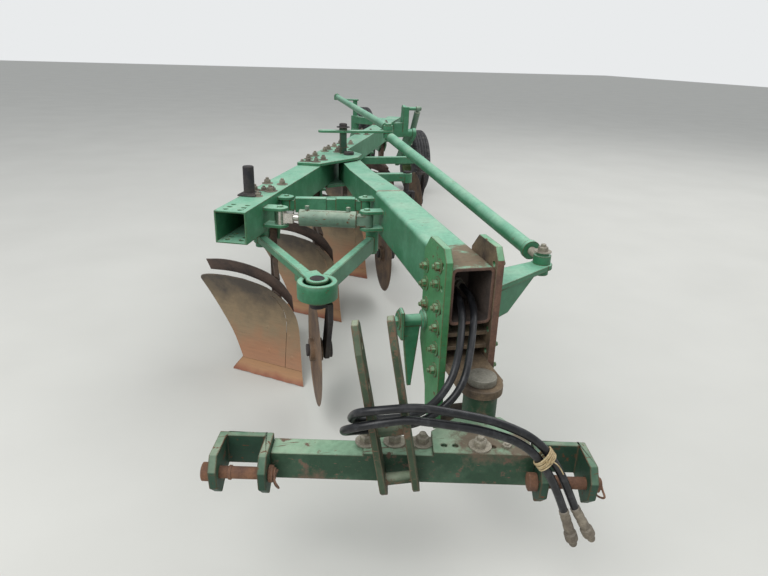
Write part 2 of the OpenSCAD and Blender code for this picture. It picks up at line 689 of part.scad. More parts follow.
module idler_lever() color(green) {
  difference() {
    union() {
      flat_link(idler_post, idler_pin, 36, 36, 60, lever_z, lever_top);
      flat_link(idler_post, idler_post - [140, -14], 30, 30, 60, lever_z, lever_top);
    }
    translate([idler_post[0], idler_post[1], 0]) cylinder(r = idler_pin_r + fit, h = 1200);
  }
  translate([idler_pin[0], idler_pin[1], lever_z - tie_eye_h - 16])
    cylinder(r = tie_pin_r, h = 2 * tie_eye_h + lever_t + 30);
  translate([idler_pin[0], idler_pin[1], lever_z - tie_eye_h - 16]) cylinder(r = 22, h = 14);
  translate([idler_pin[0], idler_pin[1], lever_top + tie_eye_h + seat * 2]) cylinder(r = 24, h = 14);
}
module rear_tie() color(green) {
  z = lever_top + seat + tie_eye_h / 2;
  start = [idler_pin[0], idler_pin[1], z];
  finish = [fork_pin[0], fork_pin[1], z];
  way = (finish - start) / norm(finish - start);
  difference() {
    union() {
      translate([start[0], start[1], lever_top + seat]) cylinder(r = 33, h = tie_eye_h);
      translate([finish[0], finish[1], lever_top + seat]) cylinder(r = 33, h = tie_eye_h);
      rod_between(start + way * 20, start + way * 110, 14);
      rod_between(finish - way * 110, finish - way * 20, 14);
      rod_between(start + way * 80, finish - way * 80, tie_r - 4);
    }
    translate([start[0], start[1], 0]) cylinder(r = tie_pin_r + fit, h = 1300);
    translate([finish[0], finish[1], 0]) cylinder(r = tie_pin_r + tie_play, h = 1300);
  }
}

// Width cylinder and telescoping brace
module between(a, b, z) translate([a[0], a[1], z]) rotate(atan2(b[1] - a[1], b[0] - a[0])) children();
cyl_len = norm(cyl_root() - cyl_beam);
cyl_play = 4;        // play of an open eye on its pin
module cylinder_barrel() color(green)
  between(cyl_beam, cyl_root(), frame_z) {
    difference() {
      union() {
        translate([0, 0, -32]) cylinder(r = 30, h = 64);
        translate([0, -30, -24]) cube([60, 60, 48]);
      }
      translate([0, 0, -33]) cylinder(r = cyl_pin_r + fit, h = 66);
    }
    difference() {
      bar_x(40, 50, cyl_len - 92);
      bar_x(34, 66, cyl_len - 104);
      bar_x(17 + fit, 66, cyl_len);
    }
    translate([90, 0, 38]) cylinder(r = 11, h = 22);
    translate([cyl_len - 130, 0, 38]) cylinder(r = 11, h = 22);
  }
module cylinder_rod() color("silver")
  between(cyl_beam, cyl_root(), frame_z) {
    bar_x(17, 74, cyl_len - 50);
    bar_x(33.9, 74, 90);
    difference() {
      union() {
        translate([cyl_len, 0, -32]) cylinder(r = 30, h = 64);
        translate([cyl_len - 62, -24, -24]) cube([62, 48, 48]);
      }
      translate([cyl_len, 0, -33]) cylinder(r = cyl_pin_r + cyl_play, h = 66);
    }
  }
brace_len = norm(brace_beam - brace_root());
module brace_sleeve() color(green)
  between(brace_root(), brace_beam, frame_z + 12) {
    difference() {
      union() {
        translate([0, 0, -26.5]) cylinder(r = 28, h = 53);
        translate([0, -22, -26]) cube([50, 44, 52]);
        translate([44, -24, -37]) cube([160, 48, 74]);
      }
      translate([0, 0, -38]) cylinder(r = brace_pin_r + fit, h = 76);
      translate([56, -19.5, -32.5]) cube([200, 39, 65]);
    }
  }
module brace_slide() color(green)
  between(brace_root(), brace_beam, frame_z + 12)
    difference() {
      union() {
        translate([58, -19, -32]) cube([brace_len - 98, 38, 64]);
        translate([brace_len - 150, -25, -38]) cube([100, 50, 76]);
        translate([brace_len, 0, -26.5]) cylinder(r = 28, h = 53);
        translate([brace_len - 60, -20, -26]) cube([60, 40, 52]);
      }
      translate([brace_len, 0, -40]) cylinder(r = brace_pin_r + cyl_play, h = 80);
    }

// Wheels
module tyre(r, w) {
  // Crown, shoulder and bulged sidewall down to the bead
  rotate([0, 90, 0]) rotate_extrude($fn = 72)
    polygon([[rim_r + seat, -w / 2 + 25], [rim_r + 14 + seat, -w / 2 + 14], [rim_r + 26, -w / 2 + 4],
      [(rim_r + r) / 2, -w / 2], [r - 34, -w / 2 + 8], [r - 8, -w / 2 + 26], [r, -w / 2 + 52],
      [r, w / 2 - 52], [r - 8, w / 2 - 26], [r - 34, w / 2 - 8], [(rim_r + r) / 2, w / 2],
      [rim_r + 26, w / 2 - 4], [rim_r + 14 + seat, w / 2 - 14], [rim_r + seat, w / 2 - 25]]);
}
module rim(w, bore_r) {
  rotate([0, 90, 0])
    difference() {
      rotate_extrude($fn = 72)
        polygon([[bore_r, -46], [62, -46], [62, -14], [130, 2], [rim_r - 22, -10],
          [rim_r - 14, -w / 2 + 24], [rim_r + 14, -w / 2 + 8], [rim_r + 14, -w / 2 + 13],
          [rim_r, -w / 2 + 24], [rim_r, w / 2 - 24], [rim_r + 14, w / 2 - 13], [rim_r + 14, w / 2 - 8],
          [rim_r - 14, w / 2 - 24], [rim_r - 22, 4], [130, 14], [62, 4], [62, 46], [bore_r, 46]]);
      for (k = [0:4]) rotate(k * 72) translate([96, 0, -60]) cylinder(r = 9, h = 120);
    }
}
axle_r = 22;
land_hub = [1346, 3000];
land_pivot = [2330, 800];
arm_x = 1125;
arm_t = 40;
land_ram_top = [2400, 1050];
land_ram_eye = [2690, 640];
ram_x = 1185;
ram_pin_r = 11;
module land_wheel_mast() color("darkgreen") {
  difference() {
    union() {
      translate([0, land_pivot[0], land_pivot[1]]) bar_x(44, 942, arm_x - arm_t / 2 - seat);
      plate_z(land_pivot[1] - 40, land_pivot[1] + 110)
        polygon([frame_point(4060, frame_w / 2 + seat), frame_point(4230, frame_w / 2 + seat),
          [1000, 2370], [1000, 2290]]);
      // Mast with a forked head
      translate([1020, 0, 0]) plate_x(60) polygon([[2290, 800], [2370, 800], [2400, 960], [2360, 1075],
        [2270, 1075], [2270, 900]]);
      translate([1020, 0, 0]) plate_x(30) polygon([[2330, 1075], [2350, 980], [2430, 1010],
        [2440, 1060], [2410, 1088]]);
    }
    translate([0, land_pivot[0], land_pivot[1]]) bar_x(24 + fit, 952, 1200);
  }
  translate([0, land_ram_top[0], land_ram_top[1]]) {
    bar_x(ram_pin_r, 1034, ram_x + 34);
    bar_x(ram_pin_r + 8, ram_x + 24 + seat, ram_x + 34);
    bar_x(ram_pin_r + 8, 1034, ram_x - 24 - seat);
  }
}
module land_arm() color(green) {
  translate([0, land_pivot[0], land_pivot[1]]) bar_x(24, 954, arm_x + 10);
  translate([arm_x, 0, 0]) plate_x(arm_t) {
    translate(land_pivot) circle(r = 52);
    translate([land_hub[1], land_tyre_r]) circle(r = 46);
    polygon([[2330, 850], [2700, 690], [3010, 420], [2985, 332], [2600, 570], [2310, 752]]);
  }
  translate([0, land_hub[1], land_tyre_r]) bar_x(axle_r, arm_x, land_hub[0] + 70);
  translate([0, land_hub[1], land_tyre_r]) bar_x(36, arm_x + arm_t / 2 - cut, land_hub[0] - 46 - gap / 2);
  translate([0, land_hub[1], land_tyre_r]) bar_x(34, land_hub[0] + 46 + 1, land_hub[0] + 64);
  // Pin of the lift cylinder
  translate([0, land_ram_eye[0], land_ram_eye[1]]) {
    bar_x(ram_pin_r, arm_x, ram_x + 34);
    bar_x(ram_pin_r + 11, ram_x + 24 + seat, ram_x + 34);
    bar_x(ram_pin_r + 11, arm_x, ram_x - 24 - seat);
  }
}
module land_rim() color("olivedrab")
  translate([land_hub[0], land_hub[1], land_tyre_r]) rim(land_tyre_w, axle_r + fit);
module land_tyre() color("black")
  translate([land_hub[0], land_hub[1], land_tyre_r]) tyre(land_tyre_r, land_tyre_w);
module on_ram()
  translate([ram_x, land_ram_top[0], land_ram_top[1]])
    rotate([-atan2(land_ram_top[1] - land_ram_eye[1], land_ram_eye[0] - land_ram_top[0]), 0, 0]) children();
ram_len = norm(land_ram_eye - land_ram_top);
ram_closed = 300;
ram_play = 8;        // play of the rod's eye on its pin
module lift_barrel() color(green)
  on_ram()
    difference() {
      union() {
        bar_x(26, -24, 24);
        bar_y(14, 10, 60);
        bar_y(33, 40, ram_closed);
      }
      bar_x(ram_pin_r + fit, -40, 40);
      bar_y(27, 52, ram_closed - 12);
      bar_y(14 + fit, 60, ram_len);
    }
module lift_rod() color("silver")
  on_ram()
    difference() {
      union() {
        bar_y(14, 228, ram_len - 10);
        bar_y(26.9, 228, 242);
        translate([0, ram_len, 0]) bar_x(30, -24, 24);
      }
      translate([0, ram_len, 0]) bar_x(ram_pin_r + ram_play, -40, 40);
    }

// Rear furrow wheel on its kingpin
king = [590, 2960];
king_r = 25;
rear_hub = [750, 3260];
module rear_carrier() color(green) {
  housing_low = frame_z - 70;
  difference() {
    union() {
      plate_z(frame_z - 14, frame_z + 60)
        polygon([frame_point(4380, -frame_w / 2 - seat), frame_point(4560, -frame_w / 2 - seat),
          [700, 2880], [king[0] + 30, king[1] + 20], [king[0] - 20, king[1] - 40]]);
      translate([king[0], king[1], housing_low]) cylinder(r = 45, h = 140);
    }
    translate([king[0], king[1], 0]) cylinder(r = king_r + fit, h = 1200);
  }
}
module rear_fork() color(green) {
  crown = frame_z - 70 - seat;
  translate([king[0], king[1], crown - 40]) cylinder(r = king_r, h = lever_top - crown + 40);
  translate([king[0], king[1], crown - 60]) cylinder(r = 46, h = 60);
  flat_link(king, fork_pin, 40, 34, 62, lever_z, lever_top);
  translate([fork_pin[0], fork_pin[1], lever_z]) cylinder(r = tie_pin_r, h = lever_t + tie_eye_h + 20);
  translate([fork_pin[0], fork_pin[1], lever_top + tie_eye_h + 2 * seat]) cylinder(r = 26, h = 12);
  // Leg beside the wheel, down to the axle
  translate([king[0] + 18, 0, 0]) plate_x(40)
    polygon([[king[1] - 30, crown], [king[1] - 30, crown - 60], [rear_hub[1] - 44, rear_axle_z - 30],
      [rear_hub[1] + 10, rear_axle_z - 44], [rear_hub[1] + 44, rear_axle_z], [rear_hub[1] + 30, rear_axle_z + 44],
      [king[1] + 120, crown]]);
  translate([0, rear_hub[1], rear_axle_z]) bar_x(axle_r, king[0], rear_hub[0] + 66);
  translate([0, rear_hub[1], rear_axle_z]) bar_x(36, king[0] + 10, rear_hub[0] - 46 - gap / 2);
  translate([0, rear_hub[1], rear_axle_z]) bar_x(34, rear_hub[0] + 47, rear_hub[0] + 62);
}
module rear_rim() color("olivedrab")
  translate([rear_hub[0], rear_hub[1], rear_axle_z]) rim(rear_tyre_w, axle_r + fit);
module rear_tyre() color("black")
  translate([rear_hub[0], rear_hub[1], rear_axle_z]) tyre(rear_tyre_r, rear_tyre_w);

// Hydraulic hoses, from the beam's open end round the mast and over the crossbar
hose_r = 12;
hose_sides = 10;
hose_start = 130 - beam_len;
hose_one_route = [[20, hose_start, 835], [20, -2250, 835], [22, -2320, 826], [10, -2390, 802],
  [-15, -2455, 768], [-50, -2530, 722], [-85, -2590, 675], [-120, -2612, 628], [-165, -2625, 594],
  [-215, -2645, 578], [-270, -2656, 570], [-330, -2650, 562], [-390, -2639, 554], [-437, -2643, 559],
  [-470, -2665, 576], [-482, -2698, 604], [-468, -2732, 632], [-430, -2757, 654], [-384, -2771, 667],
  [-322, -2782, 674], [-265, -2796, 670], [-205, -2812, 663], [-145, -2828, 655], [-90, -2844, 642],
  [-36, -2856, 622], [10, -2868, 592], [45, -2876, 552], [75, -2883, 505], [100, -2889, 455],
  [125, -2896, 395], [145, -2901, 340]];
hose_two_route = [[-20, hose_start, 835], [-20, -2250, 835], [-24, -2320, 830], [-34, -2390, 808],
  [-55, -2455, 775], [-85, -2525, 735], [-118, -2580, 690], [-150, -2605, 650], [-190, -2628, 622],
  [-232, -2646, 607], [-280, -2656, 600], [-330, -2648, 593], [-385, -2638, 589], [-427, -2646, 599],
  [-454, -2673, 622], [-459, -2704, 653], [-449, -2738, 684], [-410, -2764, 703], [-362, -2776, 710],
  [-315, -2782, 712], [-265, -2794, 711], [-208, -2808, 702], [-150, -2820, 690], [-95, -2832, 676],
  [-40, -2845, 655], [10, -2855, 628], [52, -2864, 592], [85, -2872, 548], [115, -2880, 498],
  [140, -2887, 445], [165, -2893, 390], [190, -2900, 345]];
function unit(v) = v / norm(v);
function way_at(p, i) = unit(p[min(i + 1, len(p) - 1)] - p[max(i - 1, 0)]);
function side_at(p, i) =
  i == 0 ? unit(cross(way_at(p, 0), [0.3, 0.2, 1]))
    : let (t = way_at(p, i), n = side_at(p, i - 1)) unit(n - (n * t) * t);
module hose(p, r) {
  n = hose_sides;
  rings = [for (i = [0:len(p) - 1])
    let (t = way_at(p, i), u = side_at(p, i), v = cross(t, u))
      for (k = [0:n - 1]) p[i] + r * (cos(360 * k / n) * u + sin(360 * k / n) * v)];
  walls = [for (i = [0:len(p) - 2]) for (k = [0:n - 1])
    [i * n + k, i * n + (k + 1) % n, (i + 1) * n + (k + 1) % n, (i + 1) * n + k]];
  polyhedron(rings, concat([for (w = walls) [w[3], w[2], w[1], w[0]]],
    [[for (k = [0:n - 1]) k]], [[for (k = [0:n - 1]) (len(p) - 1) * n + n - 1 - k]]));
}
module hose_one() color("black") hose(hose_one_route, hose_r);
module hose_two() color("black") hose(hose_two_route, hose_r);
// Quick couplers on the hose ends
module coupler(p) {
  end = p[len(p) - 1];
  way = unit(end - p[len(p) - 2]);
  rod_between(end, end + 34 * way, 15);
  rod_between(end + 33 * way, end + 62 * way, 19);
  rod_between(end + 61 * way, end + 84 * way, 12);
}
module hose_couplers() color("gray") {
  coupler(hose_one_route);
  coupler(hose_two_route);
}
// Twine tied once round both hoses
twine_r = 2.5;
twine_at = 26;
module hose_twine() color("tan") {
  a = hose_one_route[twine_at];
  b = hose_two_route[twine_at];
  w = way_at(hose_one_route, twine_at);
  apart = b - a - ((b - a) * w) * w;
  u = unit(apart);
  v = cross(w, u);
  reach = hose_r + twine_r + 1.5;
  hose([for (t = [0:15:345])
    a + apart / 2 + (norm(apart) / 2 + reach) * cos(t) * u + (reach + 4) * sin(t) * v], twine_r);
}

// The whole plough stands over the middle of its box
box_left = land_hub[0] + land_tyre_w / 2;
box_right = share_point(0)[0] - wing_reach;
box_rear = rear_hub[1] + rear_tyre_r;
box_front = swivel_y - (link_span / 2 - bar_shift + clevis_gap / 2 + clevis_wall) * sin(hitch_turn)
  + (link_y - clevis_nose) * cos(hitch_turn);
module place() translate([-(box_left + box_right) / 2, -(box_front + box_rear) / 2, 0]) children();

place() main_frame();
place() pivot_plates();
place() beam_pivot_pin();
place() standards();
place() trip_heads();
place() moldboard(0);  // moldboard_1
place() moldboard(1);  // moldboard_2
place() moldboard(2);  // moldboard_3
place() moldboard(3);  // moldboard_4
place() moldboard(4);  // moldboard_5
place() shares();
place() landsides();
place() cover_boards();
place() coulter_arms();
place() front_post();
place() land_wheel_mast();
place() rear_carrier();
place() coulter_yoke(hub, hub_z + v_t + seat, 14);  // coulter_yoke_1
place() coulter_yoke(coulter_point(2), arm_top + seat, 14);  // coulter_yoke_3
place() coulter_yoke(coulter_point(3), arm_top + seat, 14);  // coulter_yoke_4
place() coulter_yoke(coulter_point(4), arm_top + seat, 14);  // coulter_yoke_5
place() coulter_disc(hub);  // coulter_disc_1
place() coulter_disc(coulter_point(2));  // coulter_disc_3
place() coulter_disc(coulter_point(3));  // coulter_disc_4
place() coulter_disc(coulter_point(4));  // coulter_disc_5
place() v_arm_right();
place() v_arm_left();
place() cylinder_barrel();
place() cylinder_rod();
place() brace_sleeve();
place() brace_slide();
place() hitch_beam();
place() headstock();
place() steering_arm();
place() stay_bracket();
place() crossbar();
place() hitch_mast();
place() swivel_pin();
place() clevises();
place() link_pins();
place() front_tie();
place() rear_tie();
place() idler_lever();
place() land_arm();
place() land_rim();
place() land_tyre();
place() lift_barrel();
place() lift_rod();
place() rear_fork();
place() rear_rim();
place() rear_tyre();
place() hose_one();
place() hose_two();
place() hose_couplers();
place() hose_twine();
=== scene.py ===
"""Looks of a semi-mounted moldboard plough with five bottoms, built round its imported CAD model.

Lengths are millimetres from the beam pivot, in the axes of the part's source, and row() brings
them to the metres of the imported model.
"""

import json
import math

import bmesh
import bpy
import numpy as np
from mathutils import Matrix, Vector
from mathutils.geometry import tessellate_polygon


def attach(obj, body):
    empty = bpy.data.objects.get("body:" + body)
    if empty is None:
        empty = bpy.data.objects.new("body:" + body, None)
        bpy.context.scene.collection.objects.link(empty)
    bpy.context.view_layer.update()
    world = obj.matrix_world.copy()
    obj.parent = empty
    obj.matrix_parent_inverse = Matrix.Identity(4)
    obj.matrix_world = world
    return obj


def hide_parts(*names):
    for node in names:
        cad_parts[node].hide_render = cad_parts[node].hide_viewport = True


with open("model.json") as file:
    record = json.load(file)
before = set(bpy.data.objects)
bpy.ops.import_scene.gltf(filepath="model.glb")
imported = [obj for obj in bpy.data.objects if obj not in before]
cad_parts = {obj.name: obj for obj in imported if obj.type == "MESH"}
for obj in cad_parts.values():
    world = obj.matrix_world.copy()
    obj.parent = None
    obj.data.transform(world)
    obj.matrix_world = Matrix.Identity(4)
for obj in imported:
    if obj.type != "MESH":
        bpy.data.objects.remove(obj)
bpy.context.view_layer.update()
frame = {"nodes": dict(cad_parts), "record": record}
BODIES = frame["record"]["behaviour"]["bodies"]
body_of = {node: body for body, nodes in BODIES.items() for node in nodes}

MM = 0.001
PIVOT = np.array([-0.239839, -0.375923, 0.0])  # the beam pivot in the model's frame
UP = (0, 0, 1)
LEFT = (1, 0, 0)
RIGHT = (-1, 0, 0)


def row(points):
    """Points in millimetres from the beam pivot, as metres in the model's frame."""
    return np.asarray(points, float) * MM + PIVOT


# Camera
CAMERA_PLACE = row([-720, -4100, 1600])
HEADING = np.array([0.237, 0.972, 0.0])  # level direction of view
PITCH = math.radians(21.5)  # below the horizon
ROLL = math.radians(1.8)
FOCAL_PIXELS = 595.0
IMAGE_WIDTH = 768
SENSOR = 36.0


def make_camera():
    """The camera at the photograph's place, looking down by PITCH and rolled by ROLL."""
    level = HEADING / np.linalg.norm(HEADING)
    ahead = level * math.cos(PITCH) - np.array([0, 0, math.sin(PITCH)])
    right = np.cross(ahead, [0, 0, 1])
    right /= np.linalg.norm(right)
    up = np.cross(right, ahead)
    turned_right = math.cos(ROLL) * right + math.sin(ROLL) * up
    turned_up = math.cos(ROLL) * up - math.sin(ROLL) * right
    data = bpy.data.cameras.new("view_camera")
    data.sensor_width = SENSOR
    data.lens = FOCAL_PIXELS * SENSOR / IMAGE_WIDTH
    data.clip_start = 0.05
    data.clip_end = 200
    camera = bpy.data.objects.new("view_camera", data)
    bpy.context.scene.collection.objects.link(camera)
    axes = Matrix([list(turned_right), list(turned_up), list(-ahead)]).transposed()
    camera.matrix_world = Matrix.Translation(Vector(CAMERA_PLACE)) @ axes.to_4x4()
    bpy.context.scene.camera = camera


make_camera()


# Pieces and their meshes
def joined(parts):
    """Several (points, faces) pairs as one pair."""
    points, faces, count = [], [], 0
    for part_points, part_faces in parts:
        points.append(np.asarray(part_points, float))
        faces.extend([[v + count for v in face] for face in part_faces])
        count += len(part_points)
    return np.concatenate(points), faces


def new_object(name, points, faces, finish, sharp=35):
    """An object from points in metres, smooth except at edges sharper than the angle in degrees."""
    mesh = bpy.data.meshes.new(name)
    mesh.from_pydata(np.asarray(points, float).tolist(), [], [list(map(int, f)) for f in faces])
    mesh.validate()
    mesh.polygons.foreach_set("use_smooth", np.ones(len(mesh.polygons), bool))
    mesh.set_sharp_from_angle(angle=math.radians(sharp))
    mesh.materials.append(finish)
    made = bpy.data.objects.new(name, mesh)
    bpy.context.scene.collection.objects.link(made)
    return made


SMOOTH = 40  # degrees up to which a turned part's facets look smooth


def make_piece(name, parts, finish, body, node=None, sharp=35):
    """One piece from (points, faces) pairs in millimetres, which rides the body.

    Where a CAD node is named, the piece shows in its place.
    """
    points, faces = joined(parts)
    piece = new_object(name, row(points), faces, finish, sharp)
    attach(piece, body)
    if node is not None:
        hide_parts(node)
    return piece


def grid_faces(rows, columns, close_rows=False, close_columns=False):
    """Quads over a grid of points whose index is row times columns plus column."""
    r = np.arange(rows if close_rows else rows - 1)
    c = np.arange(columns if close_columns else columns - 1)
    r, c = np.meshgrid(r, c, indexing="ij")
    below, beside = (r + 1) % rows, (c + 1) % columns
    quads = [r * columns + c, r * columns + beside, below * columns + beside, below * columns + c]
    return np.stack([q.ravel() for q in quads], axis=1).tolist()


def tube_faces(stations, sides):
    """The wall of a tube made of rings with the given sides, and a flat cap at each end."""
    first = list(range(sides))[::-1]
    last = [(stations - 1) * sides + k for k in range(sides)]
    return grid_faces(stations, sides, close_columns=True) + [first, last]


def smooth_path(points, steps):
    """A Catmull-Rom curve through the points: each span blends its four nearest points by cubics."""
    p = np.asarray(points, float)
    p = np.vstack([2 * p[0] - p[1], p, 2 * p[-1] - p[-2]])
    t = (np.arange(steps) / steps)[None, :, None]
    a, b, c, d = (p[k : len(p) - 3 + k, None, :] for k in range(4))
    spans = 0.5 * (
        2 * b + (c - a) * t + (2 * a - 5 * b + 4 * c - d) * t**2 + (3 * b - a - 3 * c + d) * t**3
    )
    return np.vstack([spans.reshape(-1, 3), p[-2]])


def path_normals(path):
    """Two unit normals at each station, carried along the path without twist."""
    tangent = np.gradient(path, axis=0)
    tangent /= np.linalg.norm(tangent, axis=1)[:, None]
    normal = np.zeros_like(path)
    side = np.cross(tangent[0], [0.3, 0.2, 1.0])
    for k in range(len(path)):  # over the path's stations only
        side = side - tangent[k] * np.dot(side, tangent[k])
        side /= np.linalg.norm(side)
        normal[k] = side
    return normal, np.cross(tangent, normal)


def sweep(path, radii, sides=16):
    """A round tube: at each station a circle of that radius square to the path, closed at both ends."""
    path = np.asarray(path, float)
    radii = np.broadcast_to(np.asarray(radii, float), len(path))
    n, b = path_normals(path)
    a = np.linspace(0, 2 * math.pi, sides, endpoint=False)
    rings = path[:, None] + radii[:, None, None] * (
        np.cos(a)[None, :, None] * n[:, None] + np.sin(a)[None, :, None] * b[:, None]
    )
    return rings.reshape(-1, 3), tube_faces(len(path), sides)


def square_to(way):
    """Two unit directions square to the way and to each other."""
    side = np.cross(way, [0.0, 0.0, 1.0] if abs(way[2]) < 0.9 else [1.0, 0.0, 0.0])
    side /= np.linalg.norm(side)
    return side, np.cross(way, side)


def turned(start, way, outline, sides=32):
    """A turned part: a circle of each radius at its distance from the start along the way.

    The outline is a list of (distance, radius).
    """
    start = np.asarray(start, float)
    way = np.asarray(way, float) / np.linalg.norm(way)
    side, other = square_to(way)
    along, radius = np.asarray(outline, float).T
    a = np.linspace(0, 2 * math.pi, sides, endpoint=False)
    circle = np.cos(a)[:, None] * side + np.sin(a)[:, None] * other
    rings = start + along[:, None, None] * way + radius[:, None, None] * circle[None]
    return rings.reshape(-1, 3), tube_faces(len(along), sides)


def ring(start, way, outline, sides=48):
    """A turned part with an open bore: its closed outline is listed from the bore outward and back."""
    points, _ = turned(start, way, outline, sides)
    return points, grid_faces(len(outline), sides, close_rows=True, close_columns=True)


HOLE_SIDES = 20


def plate(outline, low, high, axis="z", holes=(), ease=2.5):
    """A plate: the outline at both faces, drawn in by the ease there, with round holes through it.

    The outline lies in the two axes that follow the thickness axis: xy for z, yz for x, xz for y.
    Each corner is drawn in along the mean of its two edges' inward normals, and the faces are cut
    into triangles round the holes, which are (x, y, radius).
    """
    outline = np.asarray(outline, float)
    after = np.roll(outline, -1, axis=0)
    if np.sum(outline[:, 0] * after[:, 1] - after[:, 0] * outline[:, 1]) < 0:
        outline = outline[::-1]
        after = np.roll(outline, -1, axis=0)
    before = np.roll(outline, 1, axis=0)
    a = (outline - before) / np.linalg.norm(outline - before, axis=1)[:, None]
    b = (after - outline) / np.linalg.norm(after - outline, axis=1)[:, None]
    inward = np.stack([-a[:, 1], a[:, 0]], 1)
    mean = inward + np.stack([-b[:, 1], b[:, 0]], 1)
    mean /= np.maximum(np.sum(mean * inward, axis=1), 0.25)[:, None]
    eased_in = outline + ease * mean
    count = len(outline)
    levels = [(eased_in, low), (outline, low + ease), (outline, high - ease), (eased_in, high)]
    flat = [np.column_stack([loop, np.full(count, h)]) for loop, h in levels]
    points = np.concatenate(flat)
    faces = grid_faces(4, count, close_columns=True)
    loops = [flat[0]]
    t = np.linspace(0, 2 * math.pi, HOLE_SIDES, endpoint=False)[::-1]
    for hole_x, hole_y, radius in holes:
        circle = np.column_stack([hole_x + radius * np.cos(t), hole_y + radius * np.sin(t)])
        ends = [np.column_stack([circle, np.full(HOLE_SIDES, h)]) for h in (low, high)]
        start = len(points)
        points = np.concatenate([points] + ends)
        faces += [[v + start for v in f] for f in grid_faces(2, HOLE_SIDES, close_columns=True)]
        loops.append(ends[0])
    hole = np.arange(HOLE_SIDES)
    starts = range(4 * count, len(points), 2 * HOLE_SIDES)
    under = np.concatenate([np.arange(count)] + [s + hole for s in starts])
    over = np.concatenate([np.arange(count) + 3 * count] + [s + HOLE_SIDES + hole for s in starts])
    for triangle in tessellate_polygon([[Vector(p) for p in loop] for loop in loops]):
        corner = points[under[list(triangle)]]
        turn = np.cross(corner[1] - corner[0], corner[2] - corner[0])[2]
        down = list(triangle if turn < 0 else triangle[::-1])
        faces += [list(under[down]), list(over[down])[::-1]]
    order = {"z": [0, 1, 2], "x": [2, 0, 1], "y": [0, 2, 1]}[axis]
    if axis == "y":
        faces = [f[::-1] for f in faces]
    return points[:, order], faces


def moved(part, to, turn=0.0):
    """The part turned about Z by the degrees, counterclockwise from above, and then moved."""
    points, faces = part
    c, s = math.cos(math.radians(turn)), math.sin(math.radians(turn))
    spin = np.array([[c, s, 0], [-s, c, 0], [0, 0, 1]])
    return np.asarray(points) @ spin + np.asarray(to, float), faces


# Bolts and nuts as width across flats, height of the head and stub of thread
LEG_BOLT = (30, 19, 9)
POST_BOLT = (24, 15, 6)
CHEEK_BOLT = (27, 16, 8)
BAR_BOLT = (36, 22, 9)
BAR_NUT = (26, 10, 4)
STAY_NUT = (34, 16, 8)
IDLER_NUT = (46, 22, 0)
TIE_NUT = (34, 18, 8)
WHEEL_NUT = (24, 16, 8)
WHEEL_STUD = (24, 12, 4)


def hexagon_bolt(place, way, across, head, stub=0.0):
    """A bolt head: a washer, a hexagon with its corners turned down, and the thread's stub end."""
    place = np.asarray(place, float)
    way = np.asarray(way, float) / np.linalg.norm(way)
    side, other = square_to(way)
    corner = across / math.sqrt(3)
    washer = 0.11 * across
    twist = float(np.sum(place)) * 0.37  # each head stands at its own angle
    t = np.arange(6) * math.pi / 3 + twist
    circle = np.cos(t)[:, None] * side + np.sin(t)[:, None] * other
    base = place + way * washer
    levels = [(0.0, corner), (0.84 * head, corner), (head, 0.84 * corner)]
    rings = np.concatenate([base + lift * way + size * circle for lift, size in levels])
    disc = turned(place, way, [(0, 0.98 * across), (washer, 0.98 * across)], 18)
    parts = [(rings, tube_faces(3, 6)), disc]
    if stub:
        thread = [(0, 0.3 * across), (stub, 0.3 * across), (stub + 1.5, 0.22 * across)]
        parts.append(turned(base + way * head, way, thread, 12))
    return joined(parts)


def round_edges(piece, width, angle=32):
    """Rounds the edges sharper than the angle over by the width, with flat faces left flat."""
    bevel = piece.modifiers.new("ease", "BEVEL")
    bevel.width = width * MM
    bevel.segments = 2
    bevel.limit_method = "ANGLE"
    bevel.angle_limit = math.radians(angle)
    bevel.use_clamp_overlap = False
    bevel.harden_normals = True
    mesh = piece.data
    mesh.polygons.foreach_set("use_smooth", np.ones(len(mesh.polygons), bool))
    mesh.set_sharp_from_angle(angle=math.radians(angle))


def eased(node, width):
    """A copy of the CAD node with its loose triangles merged and its sharp edges rounded over."""
    mesh = frame["nodes"][node].data.copy()
    piece = bpy.data.objects.new(node + "_eased", mesh)
    bpy.context.scene.collection.objects.link(piece)
    bm = bmesh.new()
    bm.from_mesh(mesh)
    bmesh.ops.remove_doubles(bm, verts=bm.verts, dist=2e-5)
    bmesh.ops.dissolve_limit(bm, angle_limit=math.radians(1.0), verts=bm.verts, edges=bm.edges)
    bm.to_mesh(mesh)
    bm.free()
    round_edges(piece, width)
    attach(piece, body_of[node])
    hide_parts(node)
    return piece


def soften_tube(piece, start, way, half, middle, width):
    """Rounds the long outer corners of a box tube by the width, before the other edges are eased.

    The tube starts at the plan place start and runs the way given. A corner edge is one whose ends
    both lie at the half sizes (across, up) from its middle line, and that runs along the tube.
    """
    mesh = piece.data
    points = np.empty(len(mesh.vertices) * 3)
    mesh.vertices.foreach_get("co", points)
    points = (points.reshape(-1, 3) - PIVOT) / MM
    ends = np.empty(len(mesh.edges) * 2, np.int32)
    mesh.edges.foreach_get("vertices", ends)
    ends = ends.reshape(-1, 2)
    across = np.abs((points[:, :2] - start) @ np.array([way[1], -way[0]]))
    height = np.abs(points[:, 2] - middle)
    run = (points[ends[:, 1]] - points[ends[:, 0]])[:, :2] @ np.asarray(way, float)
    corner = (np.abs(across - half[0]) < 0.7) & (np.abs(height - half[1]) < 0.7)
    weight = (corner[ends].all(axis=1) & (np.abs(run) > 8)).astype(float)
    mesh.attributes.new("bevel_weight_edge", "FLOAT", "EDGE").data.foreach_set("value", weight)
    corners = piece.modifiers.new("corners", "BEVEL")
    corners.limit_method = "WEIGHT"
    corners.width = width * MM
    corners.segments = 5
    corners.use_clamp_overlap = False
    piece.modifiers["ease"].harden_normals = False
    piece.modifiers.move(len(piece.modifiers) - 1, 0)
    even = piece.modifiers.new("even", "WEIGHTED_NORMAL")
    even.keep_sharp = True


